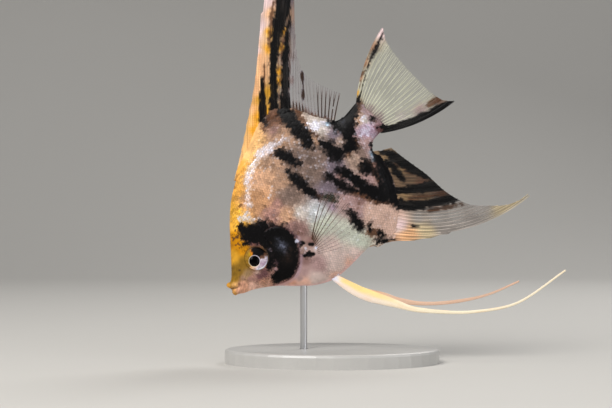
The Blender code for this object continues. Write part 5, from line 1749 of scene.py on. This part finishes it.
def build_eye(side, word):
    """An eyeball with a bowl-shaped iris, and the lens that stands out through the pupil."""
    pupil = PUPIL_RADIUS
    profile = [(0.05, 1.30, 1.0), (pupil - 0.3, 1.36, 1.0), (pupil, 1.42, 1.0),
               (pupil + 0.07, 1.56, 1.0), (pupil + 0.18, 1.60, 1.0), (pupil + 0.30, 1.56, 0.95)]
    profile += [(pupil + 0.5 + (EYE_RADIUS - pupil - 0.5) * k, 1.50 - 0.85 * k ** 1.5,
                 0.9 * (1 - k)) for k in np.linspace(0, 1, 18)]
    profile += [(EYE_RADIUS, 0.30, 0.0), (4.9, -0.6, 0.0), (3.6, -1.7, 0.0), (1.6, -2.3, 0.0),
                (0.1, -2.4, 0.0)]
    number = np.repeat(np.arange(len(profile)), EYE_SECTORS)
    flat = eye_points(profile)[:, [0, 2]]
    angle = np.degrees(np.arctan2(*(flat - np.array(PUPIL_SHIFT)).T[::-1]))
    away = np.hypot(*flat.T) / EYE_RADIUS
    tone = iris_colour(angle + 7 * rough(flat, 0.9, 70), away)
    streaks = rough(np.column_stack([angle / 5, 2 * away]), 1.0, 72)
    tone = tone * (1 + 0.10 * rough(flat, 0.5, 71) + 0.10 * streaks)[:, None]
    ring = mix(np.tile(hue("lilac_pale"), (len(flat), 1)), hue("cream"),
               0.8 * smoothstep(40, 130, np.abs(angle)))
    first, last = PUPIL_RING
    tone = mix(tone, ring, (number >= first) & (number <= last))
    tone = mix(tone, hue("ink") * 0.5, number < first)
    gloss = np.where(number <= last + 1, 0.4, 0.7 * smoothstep(-10, -40, angle) * (away > 0.5))
    dome = [(pupil * 0.99 * k, 1.95 - 0.50 * k * k, 1.0) for k in np.linspace(0.02, 1, 10)]
    dome += [(pupil * 0.9, 1.1, 1.0), (0.05, 1.0, 1.0)]
    ball, lens = Shell(), Shell()
    add_eye_part(ball, profile, side, np.clip(tone, 0, 1), gloss=gloss)
    add_eye_part(lens, dome, side, np.tile(hue("ink") * 0.3, (len(dome) * EYE_SECTORS, 1)))
    make_piece(f"eye_{word}_ball", ball, eye_material(), (f"eye_{word}",))
    make_piece(f"eye_{word}_lens", lens, lens_material())


# Stand and stage


def dress_stand():
    """Materials for the stand's own solids."""
    for name, material, slot in (("stand_rod", steel_material(), "rod"),
                                 ("stand_base", lacquer_material(), "base")):
        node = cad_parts[name]
        node.data.materials.clear()
        node.data.materials.append(material)


def backdrop(colour):
    """A pale floor that sweeps up into a wall behind the model."""
    centre = WALL_PLACE - WALL_BEND
    profile = [(FLOOR_FRONT, 0.0)]
    profile += [(centre + WALL_BEND * math.sin(turn), WALL_BEND - WALL_BEND * math.cos(turn))
                for turn in np.radians(np.linspace(0, 90, 25))] + [(WALL_PLACE, WALL_HEIGHT)]
    points = [(x, y, z) for y, z in profile for x in (-FLOOR_HALF_WIDTH, FLOOR_HALF_WIDTH)]
    faces = [[2 * i, 2 * i + 1, 2 * i + 3, 2 * i + 2] for i in range(len(profile) - 1)]
    mesh = bpy.data.meshes.new("studio_floor")
    mesh.from_pydata(points, [], faces)
    mesh.shade_smooth()
    mesh.materials.append(floor_material(colour))
    floor = linked("studio_floor", mesh)


def add_light(name, place, width, power, colour):
    """A soft square light that faces the model."""
    light = bpy.data.lights.new(name, "AREA")
    light.size, light.energy, light.color = width, power, colour
    lamp = linked(name, light)
    lamp.location = place
    lamp.rotation_euler = (Vector(VIEW_MIDDLE) - Vector(place)).to_track_quat("-Z", "Y").to_euler()


def set_stage():
    """The camera, the floor, the lights and the surroundings."""
    scene = bpy.context.scene
    stage = scene.angelfish_stage
    lens = bpy.data.cameras.new("camera")
    lens.lens, lens.sensor_width = stage.lens, 36.0
    lens.clip_start, lens.clip_end = 0.01, 10.0
    camera = linked("camera", lens)
    camera.location = (stage.camera_across, -stage.camera_distance, stage.camera_height)
    camera.rotation_euler = (math.radians(90), 0, 0)
    scene.camera = camera
    backdrop(stage.floor)
    for name, place, width, colour in LIGHTS:
        add_light(name, place, width, getattr(stage, f"{name}_power"), colour)
    world = bpy.data.worlds.new("studio")
    world.use_nodes = True
    sky = world.node_tree.nodes["Background"]
    sky.inputs["Color"].default_value = SKY_COLOUR
    sky.inputs["Strength"].default_value = stage.surroundings
    scene.world = world
    scene.view_settings.view_transform = "Standard"


# Operators


class ANGELFISH_OT_skin(bpy.types.Operator):
    """Grow one skin over the head, trunk and tail stalk"""
    bl_idname = "angelfish.skin"
    bl_label = "Skin"

    def execute(self, context):
        build_skin()
        return {"FINISHED"}


class ANGELFISH_OT_scales(bpy.types.Operator):
    """Lay overlapping scales on both flanks, and small ones on the face"""
    bl_idname = "angelfish.scales"
    bl_label = "Scales"

    def execute(self, context):
        for side, word in SIDES:
            places = body_places(side)
            build_scales(f"scales_{word}", side, places, relief=np.zeros(len(places)), bulk=1.0)
            places = face_places(side)
            relief = face_relief(places[:, 0], places[:, 1])
            build_scales(f"face_scales_{word}", side, places, relief, bulk=0.5)
        return {"FINISHED"}


class ANGELFISH_OT_eyes(bpy.types.Operator):
    """Set the eyes, each with its lens and iris"""
    bl_idname = "angelfish.eyes"
    bl_label = "Eyes"

    def execute(self, context):
        for side, word in SIDES:
            build_eye(side, word)
        return {"FINISHED"}


class ANGELFISH_OT_fins(bpy.types.Operator):
    """Build the dorsal, anal and tail fins from their rays and webs"""
    bl_idname = "angelfish.fins"
    bl_label = "Unpaired fins"

    def execute(self, context):
        build_dorsal()
        build_anal()
        build_tail()
        return {"FINISHED"}


class ANGELFISH_OT_paired_fins(bpy.types.Operator):
    """Build the clear pectoral fans and the long pelvic feelers"""
    bl_idname = "angelfish.paired_fins"
    bl_label = "Paired fins"

    def execute(self, context):
        for side, word in SIDES:
            build_pectoral(side, word)
        build_feeler(LEFT_PELVIC, LEFT, "left")
        build_feeler(RIGHT_PELVIC, RIGHT, "right")
        return {"FINISHED"}


class ANGELFISH_OT_stand(bpy.types.Operator):
    """Finish the rod and the base of the stand"""
    bl_idname = "angelfish.stand"
    bl_label = "Stand"

    def execute(self, context):
        dress_stand()
        return {"FINISHED"}


class ANGELFISH_OT_stage(bpy.types.Operator):
    """Set the camera, the floor and the studio lights"""
    bl_idname = "angelfish.stage"
    bl_label = "Stage"

    def execute(self, context):
        set_stage()
        return {"FINISHED"}


STEPS = (ANGELFISH_OT_stage, ANGELFISH_OT_skin, ANGELFISH_OT_scales, ANGELFISH_OT_eyes,
         ANGELFISH_OT_fins, ANGELFISH_OT_paired_fins, ANGELFISH_OT_stand)


class ANGELFISH_PT_panel(bpy.types.Panel):
    """Lists the steps that dress the model, with its sizes and colours"""
    bl_idname = "ANGELFISH_PT_panel"
    bl_label = "Angelfish"
    bl_space_type = "VIEW_3D"
    bl_region_type = "UI"
    bl_category = "Angelfish"

    def draw(self, context):
        for step in STEPS:
            self.layout.operator(step.bl_idname)
        for group in (context.scene.angelfish_sizes, context.scene.angelfish_stage,
                      context.scene.angelfish_colours):
            box = self.layout.box()
            for name in group.__annotations__:
                box.prop(group, name)


GROUPS = (AngelfishSizes, AngelfishColours, AngelfishStage)


def register():
    for group in (*GROUPS, *STEPS, ANGELFISH_PT_panel):
        bpy.utils.register_class(group)
    bpy.types.Scene.angelfish_sizes = bpy.props.PointerProperty(type=AngelfishSizes)
    bpy.types.Scene.angelfish_colours = bpy.props.PointerProperty(type=AngelfishColours)
    bpy.types.Scene.angelfish_stage = bpy.props.PointerProperty(type=AngelfishStage)


def unregister():
    del bpy.types.Scene.angelfish_sizes
    del bpy.types.Scene.angelfish_colours
    del bpy.types.Scene.angelfish_stage
    for group in (ANGELFISH_PT_panel, *STEPS[::-1], *GROUPS[::-1]):
        bpy.utils.unregister_class(group)


def main():
    register()
    bpy.ops.angelfish.stage()
    bpy.ops.angelfish.skin()
    bpy.ops.angelfish.scales()
    bpy.ops.angelfish.eyes()
    bpy.ops.angelfish.fins()
    bpy.ops.angelfish.paired_fins()
    bpy.ops.angelfish.stand()


if __name__ == "__main__":
    main()
